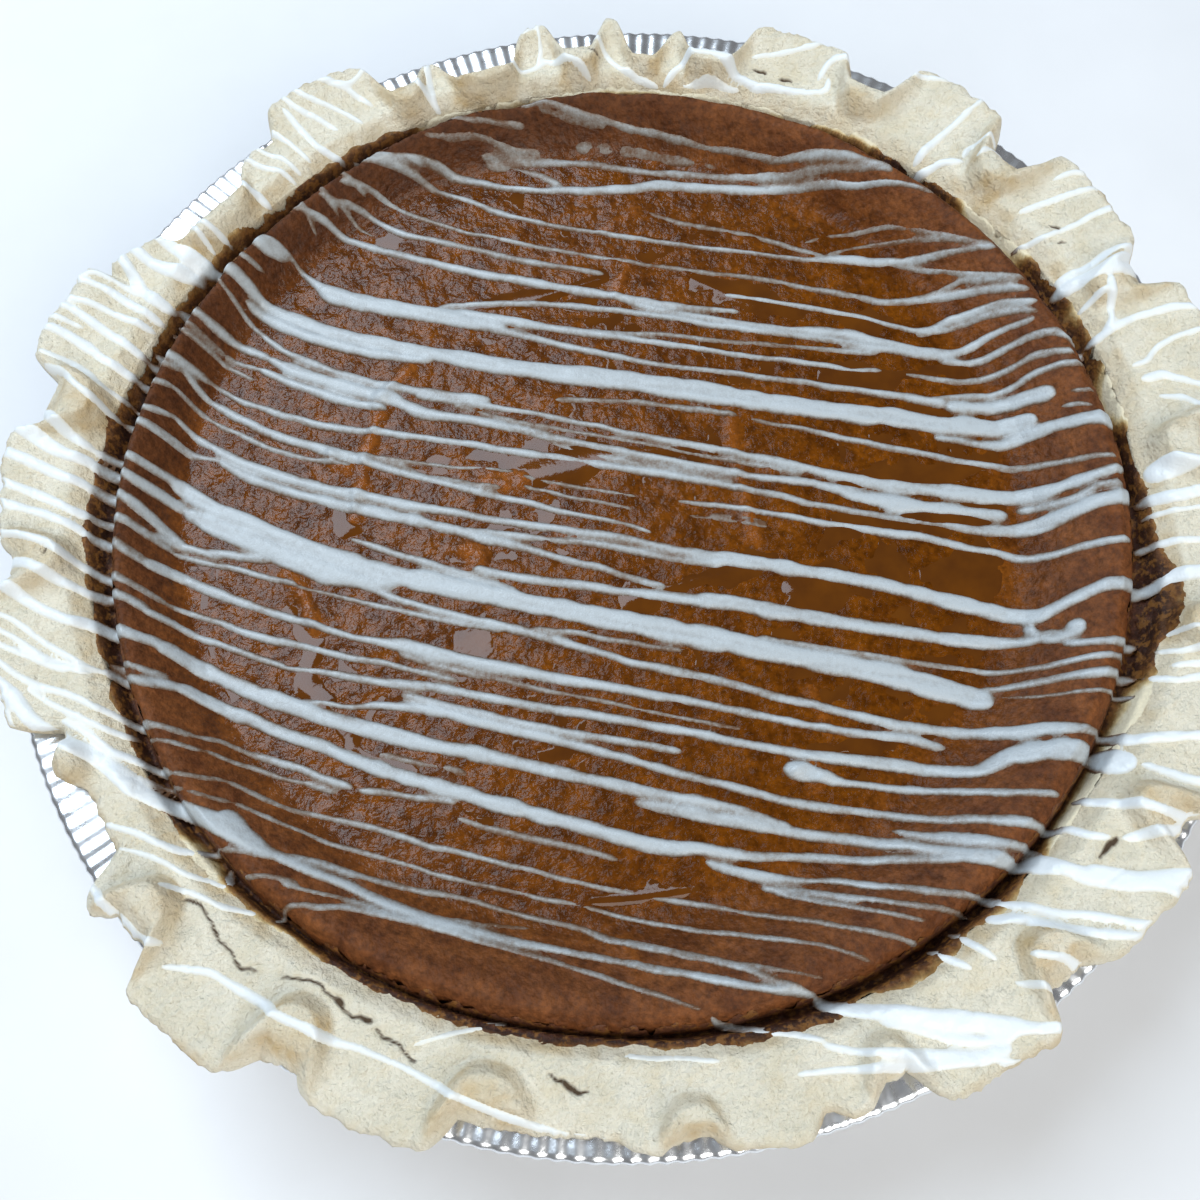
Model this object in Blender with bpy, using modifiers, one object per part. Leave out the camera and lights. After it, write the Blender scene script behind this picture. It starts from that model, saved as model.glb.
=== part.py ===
"""A pumpkin pie in its foil tin: the tin, the fluted crust and the baked filling, each one solid.

The origin is on the table, under the middle of the tin. +X is to the right and +Y to the back.
Lengths named here are in millimetres and angles in degrees, anticlockwise from +X. MM turns a
length into Blender's metres when a mesh is made.
"""
import math

import bmesh
import bpy
import numpy as np
from mathutils import Vector

MM = 0.001
GAP = 0.3                  # left between two pieces that touch

# Foil tin, a deep nine-inch pan
FOIL = 0.4
RIM_Z = 38.0               # top of the flange
RIM_R = 122.5              # outside of the rolled edge
ROLL_R = 1.3               # outside radius of the roll
MOUTH_R = 111.5
FLOOR_R = 89.0
FLOOR_CORNER = 3.0
TIN_STEPS = 72

# Crust
DOUGH = 3.8                # wall and floor of the shell
LIP = 3.0                  # thickness of a flute where it leaves the flange
SEAT_Z = RIM_Z + GAP
INNER_Z = RIM_Z + 0.6      # the crust's top where it meets the filling
BAND_WIDTH = 4.2           # the smooth band inside the flutes
BAND_Z = RIM_Z + 3.8
NOTCH_Z = RIM_Z + 2.9
FLANK = 1.8                # a flute's side, from its corner to the notch
STATION_GAP = 3.8          # widest spacing of the lofted sections
TOP_ROWS = 8
KNUCKLE_BLUNT = 2.6        # 2 is a parabola in plan, more is squarer
KNUCKLE_FOOT = 1.6         # half the width of the step up to a knuckle
KNUCKLE_TOP = 0.45         # share of a knuckle's depth before it falls to the notch

# One row a flute: from, to, reach at each side, lift of its lip, reach of the notch after it
FLUTES = (
    (4.5, 17.8, 126.0, 126.5, 6.0, 120.5),
    (23.8, 35.4, 124.0, 126.5, 6.5, 118.0),
    (43.0, 52.8, 125.0, 125.5, 6.5, 116.5),
    (60.8, 71.0, 122.0, 122.0, 7.0, 112.5),
    (79.2, 80.2, 118.5, 118.5, 6.0, 111.0),
    (86.3, 87.7, 119.5, 121.0, 8.0, 115.5),
    (94.5, 97.3, 120.5, 120.0, 7.5, 111.5),
    (107.5, 108.8, 118.5, 118.5, 6.0, 115.5),
    (115.2, 125.8, 124.0, 126.0, 7.0, 120.0),
    (130.2, 132.3, 119.5, 118.5, 5.0, 114.5),
    (145.0, 149.4, 119.5, 123.0, 6.0, 123.5),
    (151.0, 161.5, 127.0, 127.5, 7.0, 121.5),
    (169.8, 180.4, 127.0, 123.5, 6.0, 122.0),
    (186.0, 199.0, 125.5, 125.0, 5.5, 116.5),
    (204.0, 205.5, 119.0, 119.0, 6.0, 116.0),
    (215.6, 217.0, 124.5, 126.5, 5.0, 122.5),
    (224.2, 234.0, 130.0, 129.0, 5.0, 123.0),
    (241.0, 250.8, 126.0, 126.0, 4.5, 119.5),
    (267.5, 269.5, 121.5, 121.5, 5.0, 119.5),
    (275.0, 281.0, 122.5, 124.0, 4.5, 120.0),
    (284.6, 286.2, 122.5, 122.0, 4.0, 118.5),
    (291.6, 302.0, 125.5, 127.0, 4.5, 120.5),
    (309.0, 319.0, 124.0, 126.0, 5.5, 121.0),
    (325.0, 338.0, 126.5, 125.5, 5.5, 121.0),
    (344.0, 356.0, 125.0, 126.5, 6.0, 120.5),
)

# One row a knuckle, where the dough was pushed in: middle, half width, inner reach, height
KNUCKLES = (
    (0.5, 4.4, 106.0, 4.0),
    (20.6, 3.3, 107.5, 3.5),
    (39.0, 4.4, 106.5, 4.5),
    (56.6, 4.3, 106.5, 4.5),
    (75.2, 4.2, 105.5, 4.5),
    (83.2, 3.1, 106.5, 3.0),
    (91.0, 3.4, 106.0, 4.0),
    (102.3, 5.0, 105.5, 4.0),
    (112.0, 3.2, 106.5, 3.5),
    (138.5, 6.2, 106.0, 3.0),
    (165.6, 4.2, 108.0, 4.5),
    (183.2, 3.6, 109.0, 4.0),
    (204.6, 3.0, 112.5, 3.0),
    (220.4, 3.8, 111.5, 5.5),
    (237.4, 4.0, 110.5, 4.5),
    (254.6, 4.6, 109.5, 3.2),
    (271.8, 3.2, 112.5, 3.0),
    (288.8, 3.0, 111.0, 3.0),
    (305.4, 3.8, 110.5, 4.0),
    (322.0, 3.4, 109.0, 4.5),
    (341.0, 3.4, 108.0, 4.5),
)

# Where the crust's top meets the filling: angle and radius
INNER_EDGE = (
    (0.0, 102.8),
    (20.0, 104.6),
    (45.0, 102.6),
    (90.0, 103.0),
    (118.0, 105.6),
    (150.0, 106.0),
    (176.0, 107.6),
    (200.0, 104.8),
    (216.0, 105.0),
    (236.0, 103.2),
    (262.0, 102.8),
    (286.0, 104.4),
    (318.0, 103.6),
    (342.0, 106.6),
)

# Filling
FILLING_R = 101.6
FILLING_CENTRE = (-0.5, -0.4)   # its puffed edge sits a little off the tin's middle
SINK_R = 85.5                   # the flat floor of the sunk middle
SINK_CENTRE = (-5.0, 5.0)
SINK_Z = RIM_Z - 6.5
SIDE_Z = RIM_Z - 6.5            # below this the filling's side follows the crust
FILLING_STEPS = 72
# The puffed edge from the sunk floor out: share of the way, and height over the flange
PUFF = (
    (0.0, -6.5),
    (0.15, -5.4),
    (0.45, -1.0),
    (0.70, 2.4),
    (0.84, 3.3),
    (0.94, 1.6),
    (1.0, -2.4),
)
FLOOR_RINGS = (0.3, 0.6, 0.85)  # rings of the flat floor, as shares of its radius
# Humps of the puffed edge: angle, half width, extra height
HUMPS = (
    (62.0, 16.0, 0.8),
    (88.0, 8.0, 1.8),
    (107.0, 9.0, 1.4),
    (178.0, 26.0, 0.6),
    (330.0, 30.0, -0.6),
)
HUMP_SHARE = 0.7                # where across the puffed edge a hump is highest
HUMP_WIDTH = 0.45


def turn(angle):
    """The same angle between -180 and 180 degrees."""
    return (angle + 180.0) % 360.0 - 180.0


def ease(value, start, end):
    """0 before start, 1 after end, and smooth in between."""
    t = np.clip((value - start) / (end - start), 0.0, 1.0)
    return t * t * (3.0 - 2.0 * t)


def rim_corners():
    """The rim's outline in plan: angle, reach and height at each corner of each flute."""
    corners = []
    for i, (start, end, reach_start, reach_end, lift, notch) in enumerate(FLUTES):
        following = FLUTES[(i + 1) % len(FLUTES)][0]
        if following < end:
            following += 360.0
        flank = min(FLANK, 0.4 * (following - end))
        corners.append((start, reach_start, RIM_Z + lift))
        corners.append((end, reach_end, RIM_Z + lift))
        corners.append((end + flank, notch, NOTCH_Z))
        corners.append((following - flank, notch, NOTCH_Z))
    return np.array(corners)


CORNERS = rim_corners()


def inner_edge(angle):
    """Radius where the crust's top meets the filling."""
    marks, radii = zip(*INNER_EDGE)
    return np.interp(angle % 360.0, marks, radii, period=360.0)


def rim_edge(angle):
    """Reach and height of the crust's outer edge."""
    turned = (angle - CORNERS[0, 0]) % 360.0 + CORNERS[0, 0]
    reach = np.interp(turned, CORNERS[:, 0], CORNERS[:, 1], right=CORNERS[0, 1])
    height = np.interp(turned, CORNERS[:, 0], CORNERS[:, 2], right=CORNERS[0, 2])
    return reach, height


def knuckle_relief(angle, radius, reach):
    """Height that the knuckles add: a step up along a U open to the outside, then a fall to the edge."""
    relief = np.zeros_like(radius)
    for middle, half, inner, height in KNUCKLES:
        arm = math.radians(half) * reach
        side = np.abs(np.radians(turn(angle - middle)) * radius) / arm
        depth = np.maximum(reach - inner, 1.0)
        inside = (radius - inner) / depth - side ** KNUCKLE_BLUNT
        slope = np.hypot(1.0 / depth, KNUCKLE_BLUNT * side ** (KNUCKLE_BLUNT - 1.0) / arm)
        step = ease(inside / slope, -KNUCKLE_FOOT, KNUCKLE_FOOT)
        fall = 1.0 - ease(radius, inner + KNUCKLE_TOP * depth, inner + depth)
        relief = np.maximum(relief, height * step * fall)
    return relief


def crust_top(angle, radius):
    """Height of the crust's top surface."""
    reach, edge_z = rim_edge(angle)
    band = INNER_Z + (BAND_Z - INNER_Z) * ease(radius - inner_edge(angle), -1.0, BAND_WIDTH)
    sweep = ease(radius, inner_edge(angle) + BAND_WIDTH + 2.0, reach)
    return band + (edge_z - BAND_Z) * sweep + knuckle_relief(angle, radius, reach)


def wall_offset(thickness):
    """Radius of a wall that is this thick inside the tin's outer face, at the floor and at the mouth."""
    lean = math.hypot(1.0, (MOUTH_R - FLOOR_R) / RIM_Z)
    return FLOOR_R - thickness * lean, MOUTH_R - thickness * lean


def wall_point(thickness, z):
    """The point at height z on that wall."""
    low, high = wall_offset(thickness)
    return low + (high - low) * z / RIM_Z, z


def section_angles():
    """Where the crust's sections stand: at each corner and knuckle, and between those that are far apart."""
    marks = sorted(set(np.round(CORNERS[:, 0] % 360.0, 3)) | {row[0] for row in KNUCKLES})
    angles = []
    for mark, following in zip(marks, marks[1:] + [marks[0] + 360.0]):
        steps = math.ceil((following - mark) / STATION_GAP)
        angles += [mark + (following - mark) * k / steps for k in range(steps)]
    return [angle for angle, following in zip(angles, angles[1:] + [angles[0] + 360.0])
            if following - angle > 0.35]


def crust_section(angle):
    """The crust's section at one angle, from the middle of its underside round to the middle of its inside."""
    reach, edge_z = rim_edge(angle)
    shell_out = FOIL + GAP
    floor_z = shell_out
    inside = shell_out + DOUGH
    lip_r = reach - 1.2
    lip_z = max(SEAT_Z, float(crust_top(angle, np.array(lip_r))) - LIP)
    seat_r = min(wall_point(shell_out, RIM_Z)[0] + 6.0, reach - 3.0)
    outer = [
        (0.0, floor_z),
        (wall_point(shell_out, floor_z)[0] - FLOOR_CORNER, floor_z),
        wall_point(shell_out, floor_z + FLOOR_CORNER),
        wall_point(shell_out, SEAT_Z),
        (seat_r, SEAT_Z),
        (lip_r, lip_z),
        (reach, max(edge_z - 0.5 * LIP, lip_z + 0.3)),
    ]
    radii = np.linspace(reach - 0.9, inner_edge(angle), TOP_ROWS)
    heights = crust_top(angle, radii)
    inner = [
        wall_point(inside, RIM_Z - 6.0),
        wall_point(inside, inside + FLOOR_CORNER),
        (wall_point(inside, inside)[0] - FLOOR_CORNER, inside),
        (0.0, inside),
    ]
    return outer + list(zip(radii, heights)) + inner


def material(name, colour, roughness, metallic=0.0):
    """A Principled material of one colour."""
    made = bpy.data.materials.new(name)
    made.use_nodes = True
    shader = made.node_tree.nodes["Principled BSDF"]
    shader.inputs["Base Color"].default_value = (*colour, 1.0)
    shader.inputs["Roughness"].default_value = roughness
    shader.inputs["Metallic"].default_value = metallic
    made.diffuse_color = (*colour, 1.0)
    return made


def add_object(name, mesh, finish, collection):
    """Put a mesh in the scene as a named object with its material."""
    made = bpy.data.objects.new(name, mesh)
    mesh.materials.append(finish)
    collection.objects.link(made)
    return made


def profile_mesh(name, points):
    """An open line in the XZ plane, ready to be turned."""
    mesh = bpy.data.meshes.new(name)
    verts = [(x * MM, 0.0, z * MM) for x, z in points]
    mesh.from_pydata(verts, [(i, i + 1) for i in range(len(verts) - 1)], [])
    return mesh


def add_screw(obj, steps):
    """Turn an object's profile once about the Z axis."""
    screw = obj.modifiers.new("Turned", "SCREW")
    screw.axis = "Z"
    screw.steps = steps
    screw.render_steps = steps
    screw.use_merge_vertices = True
    screw.merge_threshold = 0.01 * MM
    return screw


def tin_profile():
    """The tin's outer face, from the tucked end of the rolled edge down to the middle of the floor."""
    fold = ROLL_R - FOIL
    centre_r = RIM_R - ROLL_R
    centre_z = RIM_Z - ROLL_R
    roll = [math.radians(a) for a in (-120.0, -60.0, 0.0, 45.0, 90.0)]
    points = [(centre_r + fold * math.cos(a), centre_z + fold * math.sin(a)) for a in roll]
    points.append((MOUTH_R + 1.0, RIM_Z - FOIL))
    points.append(wall_point(0.0, RIM_Z - FOIL - 1.0))
    points.append(wall_point(0.0, FLOOR_CORNER))
    points.append((wall_point(0.0, 0.0)[0] - FLOOR_CORNER, 0.0))
    points.append((0.0, 0.0))
    return points


def make_tin(collection):
    """The pressed foil tin: a turned shell with a flat flange and a rolled edge."""
    foil = material("foil", (0.78, 0.79, 0.80), 0.32, metallic=1.0)
    tin = add_object("foil_tin", profile_mesh("foil_tin", tin_profile()), foil, collection)
    add_screw(tin, TIN_STEPS)
    shell = tin.modifiers.new("Foil", "SOLIDIFY")
    shell.thickness = FOIL * MM
    shell.offset = -1.0
    tin.data.shade_smooth()
    return tin


def make_crust(collection):
    """The crust: a shell of dough in the tin, its rim pushed into uneven flutes, lofted round the axis."""
    sections = [[(r, a, z) for r, z in crust_section(a)] for a in section_angles()]
    rings = len(sections[0])
    mesh = bpy.data.meshes.new("crust")
    loft = bmesh.new()
    under = loft.verts.new((0.0, 0.0, sections[0][0][2] * MM))
    inside = loft.verts.new((0.0, 0.0, sections[0][-1][2] * MM))
    columns = []
    for section in sections:
        column = [under]
        for radius, angle, z in section[1:-1]:
            a = math.radians(angle)
            column.append(loft.verts.new(Vector((radius * math.cos(a), radius * math.sin(a), z)) * MM))
        columns.append(column + [inside])
    for left, right in zip(columns, columns[1:] + columns[:1]):
        for k in range(rings - 1):
            corners = [left[k], right[k], right[k + 1], left[k + 1]]
            loft.faces.new(list(dict.fromkeys(corners)))
    bmesh.ops.recalc_face_normals(loft, faces=loft.faces)
    loft.to_mesh(mesh)
    loft.free()
    mesh.shade_smooth()
    dough = material("baked_dough", (0.78, 0.62, 0.40), 0.75)
    return add_object("crust", mesh, dough, collection)


def circle_reach(angle, centre, radius):
    """Distance from the tin's axis, at this angle, to a circle that is a little off it."""
    along = centre[0] * np.cos(np.radians(angle)) + centre[1] * np.sin(np.radians(angle))
    return along + np.sqrt(radius ** 2 - centre[0] ** 2 - centre[1] ** 2 + along ** 2)


def filling_top(angle, radius):
    """Height of the filling's top: a flat sunk floor with a puffed, humped edge."""
    foot = circle_reach(angle, SINK_CENTRE, SINK_R)
    edge = circle_reach(angle, FILLING_CENTRE, FILLING_R)
    share = (radius - foot) / (edge - foot)
    shares, heights = zip(*PUFF)
    top = RIM_Z + np.interp(share, shares, heights)
    for middle, half, height in HUMPS:
        spread = turn(angle - middle) / half
        top += height * np.exp(-spread ** 2 - ((share - HUMP_SHARE) / HUMP_WIDTH) ** 2)
    return top


def filling_profile():
    """The filling's outline from the middle of its top, over the edge, to the middle of its underside."""
    inside = FOIL + GAP + DOUGH + GAP
    floor = [(0.0, SINK_Z)] + [(SINK_R * share, SINK_Z) for share in FLOOR_RINGS]
    puff = [(SINK_R + (FILLING_R - SINK_R) * share, RIM_Z + height) for share, height in PUFF]
    side = [
        wall_point(inside, SIDE_Z),
        wall_point(inside, inside + FLOOR_CORNER),
        (wall_point(inside, inside)[0] - FLOOR_CORNER, inside),
        (0.0, inside),
    ]
    return floor + puff + side


def settle(point):
    """Move a point of the turned blank's top to its place on the uneven filling."""
    x, y, z = point
    radius = math.hypot(x, y)
    on_top = z > SIDE_Z + 0.1 or radius < FILLING_R * 0.9 and z > SINK_Z - 0.1
    if not on_top or radius < 0.01:
        return point
    angle = math.degrees(math.atan2(y, x))
    foot = circle_reach(angle, SINK_CENTRE, SINK_R)
    edge = circle_reach(angle, FILLING_CENTRE, FILLING_R)
    if radius <= SINK_R:
        moved = radius * foot / SINK_R
    else:
        moved = foot + (edge - foot) * (radius - SINK_R) / (FILLING_R - SINK_R)
    return x * moved / radius, y * moved / radius, float(filling_top(angle, np.array(moved)))


def make_filling(collection):
    """The set filling: a turned solid whose top is puffed at the edge and sunk in the middle."""
    custard = material("pumpkin_filling", (0.22, 0.075, 0.022), 0.38)
    blank = add_object("filling_blank", profile_mesh("filling_blank", filling_profile()), custard, collection)
    add_screw(blank, FILLING_STEPS)
    evaluated = blank.evaluated_get(bpy.context.evaluated_depsgraph_get())
    mesh = bpy.data.meshes.new_from_object(evaluated)
    mesh.name = "filling"
    bpy.data.objects.remove(blank)
    for vertex in mesh.vertices:
        vertex.co = Vector(settle(vertex.co / MM)) * MM
    mesh.shade_smooth()
    filling = bpy.data.objects.new("filling", mesh)
    collection.objects.link(filling)
    return filling


def main():
    for obj in list(bpy.data.objects):
        bpy.data.objects.remove(obj, do_unlink=True)
    collection = bpy.data.collections.new("pumpkin_pie")
    bpy.context.scene.collection.children.link(collection)
    make_tin(collection)
    make_crust(collection)
    make_filling(collection)


main()
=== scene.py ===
"""The looks of a pumpkin pie in its foil tin.

The origin is on the table, under the middle of the tin. +X is to the right and +Y to the back.
Lengths named here are in millimetres and angles in degrees, anticlockwise from +X. MM turns a
length into metres when a mesh is made.
"""
import math

import bmesh
import bpy
import numpy as np
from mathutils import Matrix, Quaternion, Vector


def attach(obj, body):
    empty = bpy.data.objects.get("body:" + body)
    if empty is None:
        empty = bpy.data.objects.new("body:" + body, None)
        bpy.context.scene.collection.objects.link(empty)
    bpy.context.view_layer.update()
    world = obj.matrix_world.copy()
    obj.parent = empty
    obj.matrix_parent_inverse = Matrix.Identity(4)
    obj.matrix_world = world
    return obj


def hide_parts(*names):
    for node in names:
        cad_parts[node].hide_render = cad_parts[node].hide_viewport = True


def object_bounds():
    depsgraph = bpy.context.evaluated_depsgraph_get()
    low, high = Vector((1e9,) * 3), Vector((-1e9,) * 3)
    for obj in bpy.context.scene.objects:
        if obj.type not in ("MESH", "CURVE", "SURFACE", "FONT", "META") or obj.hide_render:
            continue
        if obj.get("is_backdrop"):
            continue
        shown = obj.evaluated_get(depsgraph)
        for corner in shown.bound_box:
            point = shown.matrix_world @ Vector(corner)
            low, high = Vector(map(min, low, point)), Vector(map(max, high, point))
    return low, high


MM = 0.001
GAP = 0.3

# Foil tin
FOIL = 0.4
RIM_Z = 38.0
RIM_R = 122.5
ROLL_R = 1.3
MOUTH_R = 111.5
FLOOR_R = 89.0
FLOOR_CORNER = 3.0

# Crust
DOUGH = 3.8
LIP = 3.0
SEAT_Z = RIM_Z + GAP
INNER_Z = RIM_Z + 0.6
BAND_WIDTH = 4.2
BAND_Z = RIM_Z + 3.8
NOTCH_Z = RIM_Z + 2.9
FLANK = 1.8
KNUCKLE_BLUNT = 2.6
KNUCKLE_FOOT = 1.6
KNUCKLE_TOP = 0.45
CRUST_STEPS = 1200
TOP_ROWS = 58

# One row a flute: from, to, reach at each side, lift of its lip, reach of the notch after it
FLUTES = (
    (4.5, 17.8, 126.0, 126.5, 6.0, 120.5),
    (23.8, 35.4, 124.0, 126.5, 6.5, 118.0),
    (43.0, 52.8, 125.0, 125.5, 6.5, 116.5),
    (60.8, 71.0, 122.0, 122.0, 7.0, 112.5),
    (79.2, 80.2, 118.5, 118.5, 6.0, 111.0),
    (86.3, 87.7, 119.5, 121.0, 8.0, 115.5),
    (94.5, 97.3, 120.5, 120.0, 7.5, 111.5),
    (107.5, 108.8, 118.5, 118.5, 6.0, 115.5),
    (115.2, 125.8, 124.0, 126.0, 7.0, 120.0),
    (130.2, 132.3, 119.5, 118.5, 5.0, 114.5),
    (145.0, 149.4, 119.5, 123.0, 6.0, 123.5),
    (151.0, 161.5, 127.0, 127.5, 7.0, 121.5),
    (169.8, 180.4, 127.0, 123.5, 6.0, 122.0),
    (186.0, 199.0, 125.5, 125.0, 5.5, 116.5),
    (204.0, 205.5, 119.0, 119.0, 6.0, 116.0),
    (215.6, 217.0, 124.5, 126.5, 5.0, 122.5),
    (224.2, 234.0, 130.0, 129.0, 5.0, 123.0),
    (241.0, 250.8, 126.0, 126.0, 4.5, 119.5),
    (267.5, 269.5, 121.5, 121.5, 5.0, 119.5),
    (275.0, 281.0, 122.5, 124.0, 4.5, 120.0),
    (284.6, 286.2, 122.5, 122.0, 4.0, 118.5),
    (291.6, 302.0, 125.5, 127.0, 4.5, 120.5),
    (309.0, 319.0, 124.0, 126.0, 5.5, 121.0),
    (325.0, 338.0, 126.5, 125.5, 5.5, 121.0),
    (344.0, 356.0, 125.0, 126.5, 6.0, 120.5),
)

# One row a knuckle, where the dough was pushed in: middle, half width, inner reach, height
KNUCKLES = (
    (0.5, 4.4, 106.0, 4.0),
    (20.6, 3.3, 107.5, 3.5),
    (39.0, 4.4, 106.5, 4.5),
    (56.6, 4.3, 106.5, 4.5),
    (75.2, 4.2, 105.5, 4.5),
    (83.2, 3.1, 106.5, 3.0),
    (91.0, 3.4, 106.0, 4.0),
    (102.3, 5.0, 105.5, 4.0),
    (112.0, 3.2, 106.5, 3.5),
    (138.5, 6.2, 106.0, 3.0),
    (165.6, 4.2, 108.0, 4.5),
    (183.2, 3.6, 109.0, 4.0),
    (204.6, 3.0, 112.5, 3.0),
    (220.4, 3.8, 111.5, 5.5),
    (237.4, 4.0, 110.5, 4.5),
    (254.6, 4.6, 109.5, 3.2),
    (271.8, 3.2, 112.5, 3.0),
    (288.8, 3.0, 111.0, 3.0),
    (305.4, 3.8, 110.5, 4.0),
    (322.0, 3.4, 109.0, 4.5),
    (341.0, 3.4, 108.0, 4.5),
)

# Where the crust's top meets the filling: angle and radius
INNER_EDGE = (
    (0.0, 102.8),
    (20.0, 104.6),
    (45.0, 102.6),
    (90.0, 103.0),
    (118.0, 105.6),
    (150.0, 106.0),
    (176.0, 107.6),
    (200.0, 104.8),
    (216.0, 105.0),
    (236.0, 103.2),
    (262.0, 102.8),
    (286.0, 104.4),
    (318.0, 103.6),
    (342.0, 106.6),
)

# Filling
FILLING_R = 101.6
FILLING_CENTRE = (-0.5, -0.4)
SINK_R = 85.5
SINK_CENTRE = (-5.0, 5.0)
SINK_Z = RIM_Z - 6.5
SIDE_Z = RIM_Z - 6.5
PUFF = (
    (0.0, -6.5),
    (0.15, -5.4),
    (0.45, -1.0),
    (0.70, 2.4),
    (0.84, 3.3),
    (0.94, 1.6),
    (1.0, -2.4),
)
HUMPS = (
    (62.0, 16.0, 0.8),
    (88.0, 8.0, 1.8),
    (107.0, 9.0, 1.4),
    (178.0, 26.0, 0.6),
    (330.0, 30.0, -0.6),
)
HUMP_SHARE = 0.7
HUMP_WIDTH = 0.45
FILLING_STEPS = 760
FILLING_ROWS = 118

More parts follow.
